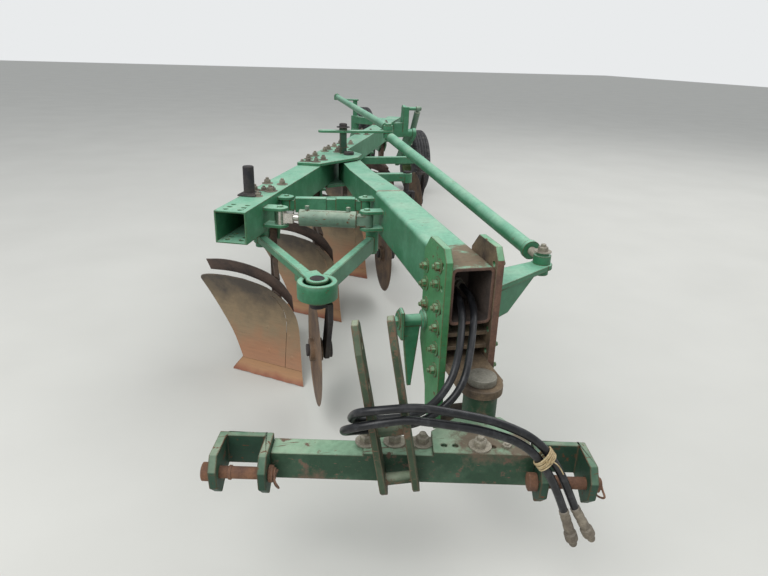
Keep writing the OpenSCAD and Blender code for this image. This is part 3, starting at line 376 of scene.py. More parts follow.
def tint(piece, finish, low, high, facing=None):
    """Gives a second finish to the faces whose centre lies in the box of millimetres."""
    mesh = piece.data
    mesh.materials.append(finish)
    count = len(mesh.polygons)
    centre, normal = np.empty(count * 3), np.empty(count * 3)
    mesh.polygons.foreach_get("center", centre)
    mesh.polygons.foreach_get("normal", normal)
    centre, normal = centre.reshape(-1, 3), normal.reshape(-1, 3)
    inside = np.all((centre > row(low)) & (centre < row(high)), axis=1)
    if facing is not None:
        inside &= normal @ np.asarray(facing, float) > 0.7
    index = np.zeros(count, np.int32)
    mesh.polygons.foreach_get("material_index", index)
    index[inside] = len(mesh.materials) - 1
    mesh.polygons.foreach_set("material_index", index)


# Finishes
def linear(code):
    """An sRGB hex colour as linear red, green, blue and full alpha."""
    parts = [int(code[k : k + 2], 16) / 255 for k in (1, 3, 5)]
    turned_parts = [c / 12.92 if c <= 0.04045 else ((c + 0.055) / 1.055) ** 2.4 for c in parts]
    return (*turned_parts, 1.0)


def add(tree, kind, inputs=None, output=0, **settings):
    """Adds one shader node with its settings, values and links, and gives one of its outputs."""
    made = tree.nodes.new("ShaderNode" + kind)
    for key, value in settings.items():
        setattr(made, key, value)
    for key, value in (inputs or {}).items():
        if isinstance(value, bpy.types.NodeSocket):
            tree.links.new(value, made.inputs[key])
        else:
            made.inputs[key].default_value = value
    return made.outputs[output] if made.outputs else None


def new_finish(name):
    """An empty material, its node tree, and the object coordinates that its patterns read."""
    material = bpy.data.materials.new(name)
    material.use_nodes = True
    tree = material.node_tree
    tree.nodes.clear()
    return material, tree, add(tree, "TexCoord", output="Object")


def edge_mask(tree, radius, low=0.006, high=0.09):
    """Where the surface turns sharply: the bevelled normal's departure from the true one."""
    soft = add(tree, "Bevel", {"Radius": radius}, samples=4)
    flat = add(tree, "NewGeometry", output="Normal")
    same = add(tree, "VectorMath", {0: soft, 1: flat}, "Value", operation="DOT_PRODUCT")
    return add(tree, "MapRange", {"Value": same, "From Min": 1 - low, "From Max": 1 - high})


def painted(name, shade, sun, wear=0.5, dust=0.35, gloss=0.5, rust="#7A4B2C", deep="#4A3326",
            stains=()):
    """Enamel sprayed on steel and left outdoors.

    Faces that look at the sky are painted toward the sun colour, and the rest keep the shade colour:
    painted sunlight and shade, together with sun bleaching of the paint. Edges and knocks show brown
    rust, and a film of pale dust lies on top. A stain is a (place in metres, radius) where the
    paint has worn through in clouds. Blotches are about 150 mm, chips 4 to 30 mm and
    scratches 1 to 2 mm across.
    """
    material, tree, place = new_finish(name)
    up = add(tree, "SeparateXYZ", {0: add(tree, "NewGeometry", output="Normal")}, "Z")
    blotch = add(tree, "TexNoise", {"Vector": place, "Scale": 6.5, "Detail": 5.0, "Roughness": 0.6})
    grain = add(tree, "TexNoise", {"Vector": place, "Scale": 55.0, "Detail": 6.0, "Roughness": 0.65})
    chips = add(tree, "TexNoise", {"Vector": place, "Scale": 26.0, "Detail": 8.0, "Roughness": 0.72})
    # Faces that look up take the sun colour: painted sunlight, together with sun bleaching of the paint
    sky = add(tree, "MapRange", {"Value": up, "From Min": 0.15, "From Max": 0.95, "To Max": 0.8})
    faded = add(tree, "Math", {0: blotch, 1: 0.75, 2: -0.35}, operation="MULTIPLY_ADD")
    painted_sun_and_bleach = add(tree, "Math", {0: sky, 1: faded}, operation="ADD", use_clamp=True)
    paint = add(tree, "MixRGB", {"Fac": painted_sun_and_bleach, "Color1": linear(shade), "Color2": linear(sun)})
    uneven = add(
        tree, "MapRange", {"Value": grain, "From Min": 0.3, "From Max": 0.7,
                           "To Min": 0.82, "To Max": 1.12}
    )
    paint = add(
        tree, "MixRGB", {"Fac": 1.0, "Color1": paint, "Color2": uneven}, blend_type="MULTIPLY"
    )
    # Dust lies in patches on the faces that look up
    film = add(
        tree, "MapRange", {"Value": blotch, "From Min": 0.42, "From Max": 0.68, "To Max": dust}
    )
    film = add(tree, "Math", {0: film, 1: sky}, operation="MULTIPLY")
    paint = add(tree, "MixRGB", {"Fac": film, "Color1": paint, "Color2": linear("#B9B9A4")})
    # Rust comes through at the edges first, then in chips and along scratches
    edges = edge_mask(tree, 0.006)
    edge_rust = add(tree, "Math", {0: edges, 1: chips}, operation="MULTIPLY")
    chip = add(
        tree, "MapRange", {"Value": chips, "From Min": 0.68 - 0.1 * wear,
                           "From Max": 0.73 - 0.1 * wear}
    )
    stretch = add(tree, "Mapping", {"Vector": place, "Rotation": (0.3, 0.2, 0.45),
                                    "Scale": (7.0, 95.0, 95.0)})
    scratch = add(tree, "TexNoise", {"Vector": stretch, "Scale": 1.6, "Detail": 4.0})
    scratch = add(
        tree, "MapRange", {"Value": scratch, "From Min": 0.715 - 0.05 * wear,
                           "From Max": 0.74 - 0.05 * wear}
    )
    bare = add(
        tree, "MapRange", {"Value": edge_rust, "From Min": 0.34 - 0.16 * wear,
                           "From Max": 0.44 - 0.1 * wear}
    )
    bare = add(tree, "Math", {0: bare, 1: chip}, operation="MAXIMUM")
    bare = add(tree, "Math", {0: bare, 1: scratch}, operation="MAXIMUM", use_clamp=True)
    for centre, reach in stains:
        away = add(tree, "VectorMath", {0: place, 1: tuple(centre)}, "Value", operation="DISTANCE")
        near = add(
            tree, "MapRange",
            {"Value": away, "From Min": reach, "From Max": 0.25 * reach, "To Max": 0.62},
        )
        worn = add(tree, "Math", {0: near, 1: chips}, operation="ADD")
        worn = add(
            tree, "MapRange", {"Value": worn, "From Min": 0.78, "From Max": 1.0, "To Max": 0.9}
        )
        bare = add(tree, "Math", {0: bare, 1: worn}, operation="MAXIMUM")
    brown = add(tree, "MixRGB", {"Fac": grain, "Color1": linear(deep), "Color2": linear(rust)})
    colour = add(tree, "MixRGB", {"Fac": bare, "Color1": paint, "Color2": brown})
    rough = add(tree, "MapRange", {"Value": bare, "To Min": gloss, "To Max": 0.88})
    height = add(tree, "Math", {0: bare, 1: -0.9, 2: grain}, operation="MULTIPLY_ADD")
    bump = add(tree, "Bump", {"Height": height, "Strength": 0.35, "Distance": 0.0012})
    shader = add(
        tree, "BsdfPrincipled", {"Base Color": colour, "Roughness": rough, "Normal": bump, "IOR": 1.5}
    )
    add(tree, "OutputMaterial", {"Surface": shader})
    return material


def weathered_iron(name, light, dark, metallic=0.0, roughness=0.8, wear=0.2, scale=9.0):
    """Bare iron or steel left outdoors: two rust colours in clouds, fine grit, and paler worn edges."""
    material, tree, place = new_finish(name)
    cloud = add(tree, "TexNoise", {"Vector": place, "Scale": scale, "Detail": 7.0, "Roughness": 0.68})
    grit = add(tree, "TexNoise", {"Vector": place, "Scale": 150.0, "Detail": 4.0, "Roughness": 0.7})
    mix = add(tree, "MapRange", {"Value": cloud, "From Min": 0.36, "From Max": 0.64})
    colour = add(tree, "MixRGB", {"Fac": mix, "Color1": linear(dark), "Color2": linear(light)})
    speck = add(
        tree, "MapRange", {"Value": grit, "From Min": 0.3, "From Max": 0.7,
                           "To Min": 0.72, "To Max": 1.2}
    )
    colour = add(
        tree, "MixRGB", {"Fac": 1.0, "Color1": colour, "Color2": speck}, blend_type="MULTIPLY"
    )
    edges = add(tree, "Math", {0: edge_mask(tree, 0.004), 1: wear}, operation="MULTIPLY")
    colour = add(tree, "MixRGB", {"Fac": edges, "Color1": colour, "Color2": linear("#8D8A84")})
    bump = add(tree, "Bump", {"Height": grit, "Strength": 0.45, "Distance": 0.0009})
    shader = add(
        tree, "BsdfPrincipled",
        {"Base Color": colour, "Roughness": roughness, "Metallic": metallic, "Normal": bump},
    )
    add(tree, "OutputMaterial", {"Surface": shader})
    return material


def soil_polished_steel(name, top, middle, low, z_low, z_high, sheen=0.55):
    """Moldboard steel that soil has polished and rain has rusted.

    The colour runs from low through middle to top over the height, broken up by clouds of 100 mm
    and by long scour marks that follow the way the soil slides, along the travel.
    """
    material, tree, place = new_finish(name)
    height = add(tree, "SeparateXYZ", {0: place}, "Z")
    cloud = add(tree, "TexNoise", {"Vector": place, "Scale": 7.0, "Detail": 7.0, "Roughness": 0.66})
    lie = add(tree, "Mapping", {"Vector": place, "Rotation": (0.0, 0.35, 0.0),
                                "Scale": (9.0, 9.0, 120.0)})
    scour = add(tree, "TexNoise", {"Vector": lie, "Scale": 1.0, "Detail": 8.0, "Roughness": 0.7})
    grit = add(tree, "TexNoise", {"Vector": place, "Scale": 210.0, "Detail": 3.0})
    level = add(tree, "MapRange", {"Value": height, "From Min": z_low, "From Max": z_high})
    shift = add(tree, "Math", {0: cloud, 1: 0.9, 2: -0.45}, operation="MULTIPLY_ADD")
    level = add(tree, "Math", {0: level, 1: shift}, operation="ADD", use_clamp=True)
    ramp = add(tree, "ValToRGB", {"Fac": level})
    stops = ramp.node.color_ramp.elements
    stops[0].position, stops[0].color = 0.08, linear(low)
    stops[1].position, stops[1].color = 0.92, linear(top)
    stops.new(0.5).color = linear(middle)
    streak = add(
        tree, "MapRange", {"Value": scour, "From Min": 0.3, "From Max": 0.7,
                           "To Min": 0.86, "To Max": 1.12}
    )
    colour = add(
        tree, "MixRGB", {"Fac": 1.0, "Color1": ramp, "Color2": streak}, blend_type="MULTIPLY"
    )
    bright = add(tree, "Math", {0: edge_mask(tree, 0.004), 1: 0.35}, operation="MULTIPLY")
    colour = add(tree, "MixRGB", {"Fac": bright, "Color1": colour, "Color2": linear("#B79A78")})
    rough = add(
        tree, "MapRange", {"Value": scour, "From Min": 0.3, "From Max": 0.7,
                           "To Min": sheen - 0.12, "To Max": sheen + 0.15}
    )
    both = add(tree, "Math", {0: scour, 1: grit}, operation="ADD")
    bump = add(tree, "Bump", {"Height": both, "Strength": 0.3, "Distance": 0.0008})
    shader = add(
        tree, "BsdfPrincipled",
        {"Base Color": colour, "Roughness": rough, "Metallic": 0.25, "Normal": bump},
    )
    add(tree, "OutputMaterial", {"Surface": shader})
    return material


def rubber(name, base, scuff, grain=320.0, share=0.5, roughness=0.62):
    """Black rubber with a fine grain, and paler scuffs and dust where it has rubbed."""
    material, tree, place = new_finish(name)
    cloud = add(tree, "TexNoise", {"Vector": place, "Scale": 24.0, "Detail": 8.0, "Roughness": 0.75})
    fine = add(tree, "TexNoise", {"Vector": place, "Scale": grain, "Detail": 3.0})
    rubbed = add(
        tree, "MapRange", {"Value": cloud, "From Min": 0.5, "From Max": 0.72, "To Max": share}
    )
    colour = add(tree, "MixRGB", {"Fac": rubbed, "Color1": linear(base), "Color2": linear(scuff)})
    bump = add(tree, "Bump", {"Height": fine, "Strength": 0.3, "Distance": 0.0006})
    shader = add(
        tree, "BsdfPrincipled", {"Base Color": colour, "Roughness": roughness, "Normal": bump}
    )
    add(tree, "OutputMaterial", {"Surface": shader})
    return material


# Enamel sprayed on steel: chalky mint on top and deeper green on the sides, which is painted sunlight
# and shade together with sun bleaching
enamel = painted("painted_sunlight_bleached_enamel", "#31714E", "#8CC8AA", wear=0.5)
bright_enamel = painted("bright_side_enamel", "#3A7A4A", "#86BC98", wear=0.8)
# The beam's paint has worn through in clouds on top of its front end
beam_enamel = painted(
    "beam_enamel", "#31714E", "#8CC8AA", wear=0.5, rust="#8A6C54", deep="#5E4A3C",
    stains=[(row([-10, -2290, 957]), 0.2), (row([60, -2190, 957]), 0.12)],
)
# The hitch wears older, darker paint, and the crossbar is bare where it has been stood on
dark_enamel = painted("dark_hitch_enamel", "#1F4230", "#5F8268", wear=1.0, dust=0.6, gloss=0.62)
bar_enamel = painted(
    "crossbar_enamel", "#24452F", "#8FB394", wear=0.95, dust=0.45, gloss=0.6, rust="#7B6553",
    deep="#574A40",
    stains=[
        (row([-50, -2680, 540]), 0.17),
        (row([70, -2720, 540]), 0.15),
        (row([-270, -2620, 515]), 0.1),
        (row([-560, -2590, 350]), 0.12),
        (row([190, -2790, 400]), 0.1),
    ],
)
mast_enamel = painted(
    "worn_mast_enamel", "#33452F", "#8C9A80", wear=1.5, dust=0.6, gloss=0.65, rust="#7C6550",
    deep="#5A4838",
)
dull_enamel = painted("dull_cylinder_enamel", "#5F7A68", "#A3B7A2", wear=0.8, dust=0.6)
rim_enamel = painted("dusty_rim_enamel", "#4E6B3C", "#8E9A6C", wear=0.6, dust=0.5)
cheek_bolt_green = painted("painted_bolt_enamel", "#3E7A4E", "#8CB892", wear=0.9)
# Castings, legs and plates: matt brown oxide over black iron
cast_iron = weathered_iron("rusty_cast_iron", "#6E5646", "#3C332E")
plate_rust = weathered_iron("rusty_steel_plate", "#8A6247", "#5A4034")
edge_rust_steel = weathered_iron("rusty_front_edges", "#7A5A48", "#4C3A33", wear=0.1)
lug_rust = weathered_iron("dusty_rusted_headstock", "#7C6A52", "#3A302A", wear=0.3, scale=7.0)
# Inside the beam's tube: rusty iron made darker as painted shade in the recess
shaded_tube_inside = weathered_iron("painted_shade_tube_inside", "#5A4E46", "#3A3532", wear=0.0)
post_steel = weathered_iron("dark_post_steel", "#463F3A", "#26242A")
# Bolts and pins: grey where zinc or bare steel is left, brown in the corners
bolt_steel = weathered_iron("weathered_bolt_steel", "#8F8676", "#5C5348", wear=0.5)
zinc_steel = weathered_iron(
    "dull_zinc_steel", "#B4AD9C", "#7F786A", metallic=0.35, roughness=0.55, wear=0.4
)
worn_pin = weathered_iron("worn_pin_steel", "#9A988C", "#6E6A60", metallic=0.55, roughness=0.5)
# Hard chrome on piston rods: bright with a warm bloom of rust
rod_chrome = weathered_iron(
    "hard_chrome_rod", "#C9C7C0", "#A9A498", metallic=0.95, roughness=0.22, wear=0.0, scale=22.0
)
# Soil-engaging steel: browner toward the ground, darker where the soil doesn't reach
board_steel = soil_polished_steel(
    "polished_board_steel", "#4E4740", "#8C7A60", "#9C7255", z_low=0.06, z_high=0.5
)
share_steel = soil_polished_steel(
    "worn_share_steel", "#9C7653", "#A37B58", "#8A5540", z_low=0.0, z_high=0.07
)
cover_steel = weathered_iron("rusty_cover_board", "#5F4D44", "#3E3532")
disc_steel = weathered_iron(
    "coulter_disc_steel", "#80664E", "#4F4038", metallic=0.3, roughness=0.6, wear=0.6
)
# Rubber: dusty and matt on the tyres, smooth and darker on the hoses' covers
tyre_rubber = rubber("weathered_tyre_rubber", "#2E2E30", "#6A6862", grain=180.0, share=0.75)
hose_rubber = rubber("hose_cover_rubber", "#121316", "#5A5B5E", share=0.4, roughness=0.36)
# Twisted sisal: straw and dirt in clouds of about 15 mm, with no worn edges
twine_fibre = weathered_iron("baler_twine_fibre", "#C6B48E", "#A08A62", wear=0.0, scale=60.0)

NODE_FINISH = {
    enamel: [
        "main_frame", "pivot_plates", "trip_heads", "coulter_arms", "rear_carrier", "v_arm_right",
        "v_arm_left", "brace_sleeve", "brace_slide", "steering_arm", "stay_bracket", "front_tie",
        "rear_tie", "idler_lever", "land_arm", "rear_fork", "land_wheel_mast",
    ],
    bright_enamel: ["headstock"],
    beam_enamel: ["hitch_beam"],
    bar_enamel: ["crossbar"],
    dark_enamel: ["clevises"],
    mast_enamel: ["hitch_mast"],
    dull_enamel: ["cylinder_barrel", "lift_barrel"],
    rim_enamel: ["land_rim", "rear_rim"],
    cast_iron: ["standards"],
    plate_rust: ["landsides", "link_pins"],
    post_steel: [
        "front_post", "beam_pivot_pin", "coulter_yoke_1", "coulter_yoke_3", "coulter_yoke_4",
        "coulter_yoke_5",
    ],
    worn_pin: ["swivel_pin"],
    rod_chrome: ["cylinder_rod", "lift_rod"],
    board_steel: ["moldboard_%d" % k for k in range(1, 6)],
    share_steel: ["shares"],
    cover_steel: ["cover_boards"],
    disc_steel: ["coulter_disc_%d" % k for k in (1, 3, 4, 5)],
    tyre_rubber: ["land_tyre", "rear_tyre"],
    hose_rubber: ["hose_one", "hose_two"],
    bolt_steel: ["hose_couplers"],
    twine_fibre: ["hose_twine"],
}
for node_finish, nodes in NODE_FINISH.items():
    for node in nodes:
        data = frame["nodes"][node].data
        data.materials.clear()
        data.materials.append(node_finish)


# Hydraulic hoses
HOSE_ONE = [
    [20, -2190, 835], [20, -2250, 835], [22, -2320, 826], [10, -2390, 802], [-15, -2455, 768],
    [-50, -2530, 722], [-85, -2590, 675], [-120, -2612, 628], [-165, -2625, 594],
    [-215, -2645, 578], [-270, -2656, 570], [-330, -2650, 562], [-390, -2639, 554],
    [-437, -2643, 559], [-470, -2665, 576], [-482, -2698, 604], [-468, -2732, 632],
    [-430, -2757, 654], [-384, -2771, 667], [-322, -2782, 674], [-265, -2796, 670],
    [-205, -2812, 663], [-145, -2828, 655], [-90, -2844, 642], [-36, -2856, 622],
    [10, -2868, 592], [45, -2876, 552], [75, -2883, 505], [100, -2889, 455], [125, -2896, 395],
    [145, -2901, 340],
]
HOSE_TWO = [
    [-20, -2190, 835], [-20, -2250, 835], [-24, -2320, 830], [-34, -2390, 808],
    [-55, -2455, 775], [-85, -2525, 735], [-118, -2580, 690], [-150, -2605, 650],
    [-190, -2628, 622], [-232, -2646, 607], [-280, -2656, 600], [-330, -2648, 593],
    [-385, -2638, 589], [-427, -2646, 599], [-454, -2673, 622], [-459, -2704, 653],
    [-449, -2738, 684], [-410, -2764, 703], [-362, -2776, 710], [-315, -2782, 712],
    [-265, -2794, 711], [-208, -2808, 702], [-150, -2820, 690], [-95, -2832, 676],
    [-40, -2845, 655], [10, -2855, 628], [52, -2864, 592], [85, -2872, 548],
    [115, -2880, 498], [140, -2887, 445], [165, -2893, 390], [190, -2900, 345],
]
HOSE_R = 12.0
TWINE_AT = 26  # the point of both routes where the twine ties them
TWINE_TURNS = 7
TWINE_R = 2.6
# Crimped ferrule, hexagon, knurled sleeve and nose of a quick coupler, as (distance, radius)
COUPLER = [
    (-52, 12.4), (-50, 14.4), (-40, 14.6), (-38, 13.8), (-30, 13.8), (-28, 14.6), (-14, 14.6),
    (-12, 13.8), (0, 13.8), (2, 15.0), (18, 15.0), (20, 13.0), (33, 13.0), (34, 18.2), (38, 19.0),
    (42, 18.2), (46, 19.0), (50, 18.2), (54, 19.0), (61, 18.4), (62, 12.0), (78, 12.0), (84, 9.5),
]


def make_twine():
    """The twine round both hoses: seven turns, a knot and a loose tail.

    The turns are an ellipse round the middle of the two hoses that creeps along them. The knot is a
    closed curve of sines, and the tail falls away as a parabola.
    """
    route = np.asarray(HOSE_ONE, float)
    one, two = (np.asarray(r, float)[TWINE_AT] for r in (HOSE_ONE, HOSE_TWO))
    way = route[TWINE_AT + 1] - route[TWINE_AT - 1]
    way /= np.linalg.norm(way)
    apart = two - one
    apart -= way * np.dot(apart, way)
    half_apart = np.linalg.norm(apart) / 2
    across = apart / np.linalg.norm(apart)
    up = np.cross(way, across)
    middle = one + apart / 2
    reach = HOSE_R + 4.0
    steps = 48 * TWINE_TURNS + 1
    t = np.linspace(0, TWINE_TURNS * 2 * math.pi, steps)
    turns = (
        middle
        + (half_apart + reach) * np.cos(t)[:, None] * across
        + (reach + 3) * np.sin(t)[:, None] * up
        + (np.linspace(-16, 16, steps) + 2 * np.sin(t / 3.1))[:, None] * way
    )
    knot_at = middle + (reach + 7) * up
    t = np.linspace(0, 2 * math.pi, 49)
    knot = knot_at + np.column_stack([9 * np.sin(t), 5 * np.sin(2 * t), 4 * np.cos(3 * t)])
    t = np.linspace(0, 1, 20)[:, None]
    tail = knot_at + t * np.array([38.0, -16, 10]) + np.array([0, 0, -46]) * t**2
    strands = [sweep(turns, TWINE_R, 8), sweep(knot, 2.2, 8), sweep(tail, 1.8, 8)]
    return make_piece("twine_tie", strands, twine_fibre, "hitch", "hose_twine")


def make_hoses():
    """Both hoses as round sweeps along smooth curves through their routes, with their couplers."""
    paths = [smooth_path(route, 8) for route in (HOSE_ONE, HOSE_TWO)]
    carried = []
    for k, path in enumerate(paths):
        coupler = turned(path[-1], path[-1] - path[-2], COUPLER, 24)
        name = "quick_coupler_%d" % (k + 1)
        piece = make_piece(name, [coupler], bolt_steel, "hitch", "hose_couplers")
        carried.append([piece])
    carried[0].append(make_twine())
    for node, path, on_it in zip(("hose_one", "hose_two"), paths, carried):
        cover = [sweep(path, HOSE_R, 20)]
        piece = make_piece(node + "_cover", cover, hose_rubber, "hitch", node)


make_hoses()


# Places of the source
FRAME_ANGLE = math.radians(23.2)
TUBE_WAY = np.array([math.sin(FRAME_ANGLE), math.cos(FRAME_ANGLE)])
TUBE_LEFT = np.array([math.cos(FRAME_ANGLE), -math.sin(FRAME_ANGLE)])
TUBE_START = -1620 * TUBE_WAY - 163 * TUBE_LEFT
TUBE_TOP = 926.0
FIRST_LEG = 531.0  # along the tube
LEG_STEP = 810.0
BOTTOMS = 5
HITCH_TURN = math.radians(-13.7)
SWIVEL_Y = -2530.0
CHEEK_FACE = 101.5
BEAM_END = -2320.0
BEAM_MIDDLE = 855.0  # height of the beam's middle line
BEAM_HALF = (76.0, 101.5)
LAND_HUB = (1346, 3000, 375)
REAR_HUB = (750, 3260, 600)
HUB = np.array([-448.0, -1830.0])  # the front coulter's post in the V bracket
V_ROOT = np.array([-650.0, -1130.0])  # the right arm's pin on the frame
V_BEAM = np.array([-86.0, -1203.0])  # the left arm's pin on the beam


def on_tube(along, side, z=TUBE_TOP):
    """A place on the frame tube, in millimetres from the beam pivot."""
    return np.append(TUBE_START + along * TUBE_WAY + side * TUBE_LEFT, z)


def on_hitch(x, y, z):
    """A place in the turned frame of the hitch, in millimetres from the beam pivot."""
    c, s = math.cos(HITCH_TURN), math.sin(HITCH_TURN)
    return np.array([c * x - s * y, s * x + c * y + SWIVEL_Y, z])


# CAD nodes with rounded edges, by the rounding's width
EASED = {
    "pivot_plates": 2.5, "trip_heads": 2.5, "coulter_arms": 3, "land_wheel_mast": 2.5,
    "rear_carrier": 3, "coulter_yoke_1": 2.5, "coulter_yoke_3": 2.5, "coulter_yoke_4": 2.5,
    "coulter_yoke_5": 2.5, "brace_sleeve": 2, "brace_slide": 2.5, "steering_arm": 2,
    "crossbar": 3, "hitch_mast": 2.5, "swivel_pin": 3, "clevises": 3.5, "link_pins": 2,
    "idler_lever": 2.5, "land_arm": 3, "rear_fork": 3, "landsides": 2, "beam_pivot_pin": 3,
    "main_frame": 3.5, "cylinder_barrel": 2, "land_rim": 1.5, "rear_rim": 1.5, "lift_barrel": 2,
    "headstock": 2, "hitch_beam": 2,
}
pieces = {node: eased(node, width) for node, width in EASED.items()}
# The idler's post on the upper pivot plate is darker
tint(pieces["pivot_plates"], dark_enamel, [-60, 20, 950], [0, 100, 1130])
# Front edges of the shelves and the left cheek, and the lugs under them, have rusted through
tint(pieces["headstock"], edge_rust_steel, [-100, -2333, 340], [100, -2331, 977], (0, -1, 0))
tint(pieces["headstock"], lug_rust, [-78, -2600, 300], [78, -2000, 760])
tint(pieces["headstock"], edge_rust_steel, [70, -2400, 300], [110, -2390, 1021], (0, -1, 0))
# The beam's inner walls take the darker iron: rusty iron with painted shade in the tube
tint(pieces["hitch_beam"], shaded_tube_inside, [-66, -2330, 764], [66, -1200, 946])
soften_tube(pieces["hitch_beam"], (0, BEAM_END), (0, 1), BEAM_HALF, BEAM_MIDDLE, width=18)


COLLAR_HALF = np.array([75.9, 101.5])
COLLAR_CORNER = 20.0
COLLAR_WALL = 11.0
COLLAR_BACK = -2319.5
COLLAR_FRONT = -2386.0


def make_beam_collar():
    """The beam's open end between the cheeks: a box tube with round corners and a rusty front edge.

    A loop is a rectangle with quarter circles for corners: sign * (half - radius) + radius *
    (cos t, sin t), where sign is that of the cosine and the sine.
    """
    t = np.arange(40) * math.pi / 20 + math.pi / 80
    arc = np.column_stack([np.cos(t), np.sin(t)])

    def loop(inset, y):
        half = COLLAR_HALF - inset
        radius = COLLAR_CORNER - inset * 0.8
        edge = np.sign(arc) * (half - radius) + arc * radius
        return np.column_stack([edge[:, 0], np.full(len(edge), y), BEAM_MIDDLE + edge[:, 1]])

    loops = [
        loop(0, COLLAR_BACK),
        loop(0, COLLAR_FRONT + 2),
        loop(2, COLLAR_FRONT),
        loop(COLLAR_WALL - 2, COLLAR_FRONT),
        loop(COLLAR_WALL, COLLAR_FRONT + 2),
        loop(COLLAR_WALL, COLLAR_BACK),
    ]
    part = (np.concatenate(loops), grid_faces(len(loops), 40, close_rows=True, close_columns=True))
    piece = make_piece("beam_end_collar", [part], beam_enamel, "beam", sharp=SMOOTH)
    tint(piece, edge_rust_steel, [-90, -2400, 740], [90, -2383, 970])
    # Inside the collar the darker iron is rusty iron with painted shade in the tube
    tint(piece, shaded_tube_inside, [-66, -2383, 760], [66, -2300, 948])


make_beam_collar()


# Front post, V bracket and stay
POST_FOOT = on_tube(330, -38)
POST_STEM = [(0, 29.5), (12, 29.5), (14, 27), (141, 27), (144, 24)]
POST_FLANGE = [[-45, -45], [45, -45], [45, 45], [-45, 45]]
BAND_LOW = 656.0
BAND_TOP = 728.0
RIGHT_ARM_LOW = 690.0
LEFT_ARM_LOW = 640.0
LEFT_ARM_TOP = 722.0
PIN_R = 15.05
# The band round the post: bore, open ring and outer wall in one outline
BAND = [
    (0, 19.3), (0, 82), (3, 84), (69, 84), (72, 82), (72, 61), (70, 59), (12, 58), (12, 30),
    (71.5, 30), (71.5, 19.3),
]
RIGHT_BOSS = [(0, PIN_R), (0, 33), (2, 35), (81, 35), (83, 33), (83, PIN_R)]
LEFT_BOSS = [(0, PIN_R), (0, 31), (2, 33), (110, 33), (112.8, 31), (112.8, PIN_R)]
STAY_Y = -2205.0
STAY_Z = 700.0
STAY_TUBE = [(0, 36), (10, 36), (12, 34), (14, 25), (17, 22), (84, 22)]


def strip(a, b, width, start=0.0, end=0.0):
    """A straight strip between two places of the plan, shortened at its ends."""
    a, b = np.asarray(a, float), np.asarray(b, float)
    way = (b - a) / np.linalg.norm(b - a)
    side = np.array([-way[1], way[0]]) * width / 2
    a, b = a + way * start, b - way * end
    return np.array([a - side, b - side, b + side, a + side])


def eye(centre, toward, radius, width, reach):
    """A plate's outline: an arc round the centre that runs out into a strip toward a place."""
    way = np.asarray(toward, float) - centre
    way /= np.linalg.norm(way)
    heading = math.atan2(way[1], way[0])
    open_half = math.asin(min(width / 2 / radius, 0.98))
    t = np.linspace(heading + open_half, heading + 2 * math.pi - open_half, 36)
    arc = centre + radius * np.column_stack([np.cos(t), np.sin(t)])
    side = np.array([-way[1], way[0]]) * width / 2
    tip = centre + way * reach
    return np.vstack([arc, tip - side, tip + side])


def make_front_post():
    """The stand's post as the photograph shows it: a stub on the tube's top with a square flange."""
    stem = turned(POST_FOOT, UP, POST_STEM, 32)
    flange = moved(plate(POST_FLANGE, 0.3, 10.3), POST_FOOT, math.degrees(-FRAME_ANGLE))
    parts = [stem, flange]
    make_piece("post_with_flange", parts, post_steel, "frame", "front_post", SMOOTH)


def make_v_bracket():
    """The bracket of the front coulter: a deep open band on the right arm, a deep bar on the left."""
    right = [
        ring([*HUB, BAND_LOW], UP, BAND, 56),
        plate(strip(V_ROOT, HUB, 46, 20, 66), RIGHT_ARM_LOW, BAND_TOP - 0.5, ease=4),
        plate(strip(V_ROOT, HUB, 38, 520, 64), BAND_LOW + 3, BAND_TOP - 3, ease=4),
        ring([*V_ROOT, RIGHT_ARM_LOW], UP, RIGHT_BOSS, 40),
        plate(eye(HUB, V_ROOT, 47, 78, 96), BAND_TOP + 0.2, BAND_TOP + 11, "z", [(*HUB, 30)], 2),
    ]
    make_piece("v_arm_right_band", right, enamel, "v_arm_right", "v_arm_right", SMOOTH)
    left = [
        plate(strip(V_BEAM, HUB, 40, 24, 95), LEFT_ARM_LOW, LEFT_ARM_TOP, ease=4),
        plate(eye(HUB, V_BEAM, 54, 40, 130), LEFT_ARM_LOW, LEFT_ARM_LOW + 10, "z", [(*HUB, 33)], 2),
        ring([*V_BEAM, LEFT_ARM_LOW], UP, LEFT_BOSS, 40),
    ]
    make_piece("v_arm_left_bar", left, enamel, "v_arm_left", "v_arm_left", SMOOTH)


def make_stay():
    """The stay beside the right cheek: a tube with a flange, an end plate and a hanging web."""
    y, z, wall = STAY_Y, STAY_Z, -CHEEK_FACE - 0.2
    end_plate = [[y - 40, z - 60], [y + 30, z - 60], [y + 36, z + 24], [y, z + 52], [y - 36, z + 44]]
    web = [[wall - 86, z - 10], [wall - 16, z - 10], [wall - 42, z - 270], [wall - 56, z - 270]]
    parts = [
        turned([wall, y, z], RIGHT, STAY_TUBE, 32),
        plate(end_plate, wall - 99, wall - 84, "x", ease=3),
        plate(web, y - 8, y + 8, "y", ease=2),
        hexagon_bolt([wall - 99, y, z], RIGHT, *STAY_NUT),
    ]
    make_piece("stay_tube", parts, enamel, "beam", "stay_bracket", SMOOTH)


make_front_post()
make_v_bracket()
make_stay()


# Moldboards, shares and cover boards
SHARE_ANGLE = math.radians(53)  # of the share's edge to the travel
BOARD_R = 458.0
BOARD_HOLLOW = 112.0
BOARD_MID = 300.0
BOARD_T = 10.0
BOARD_LOW = 60.3
BOARD_TOP = 500.0
SEAM_TOP = 424.0
SEAM_HALF = 0.9
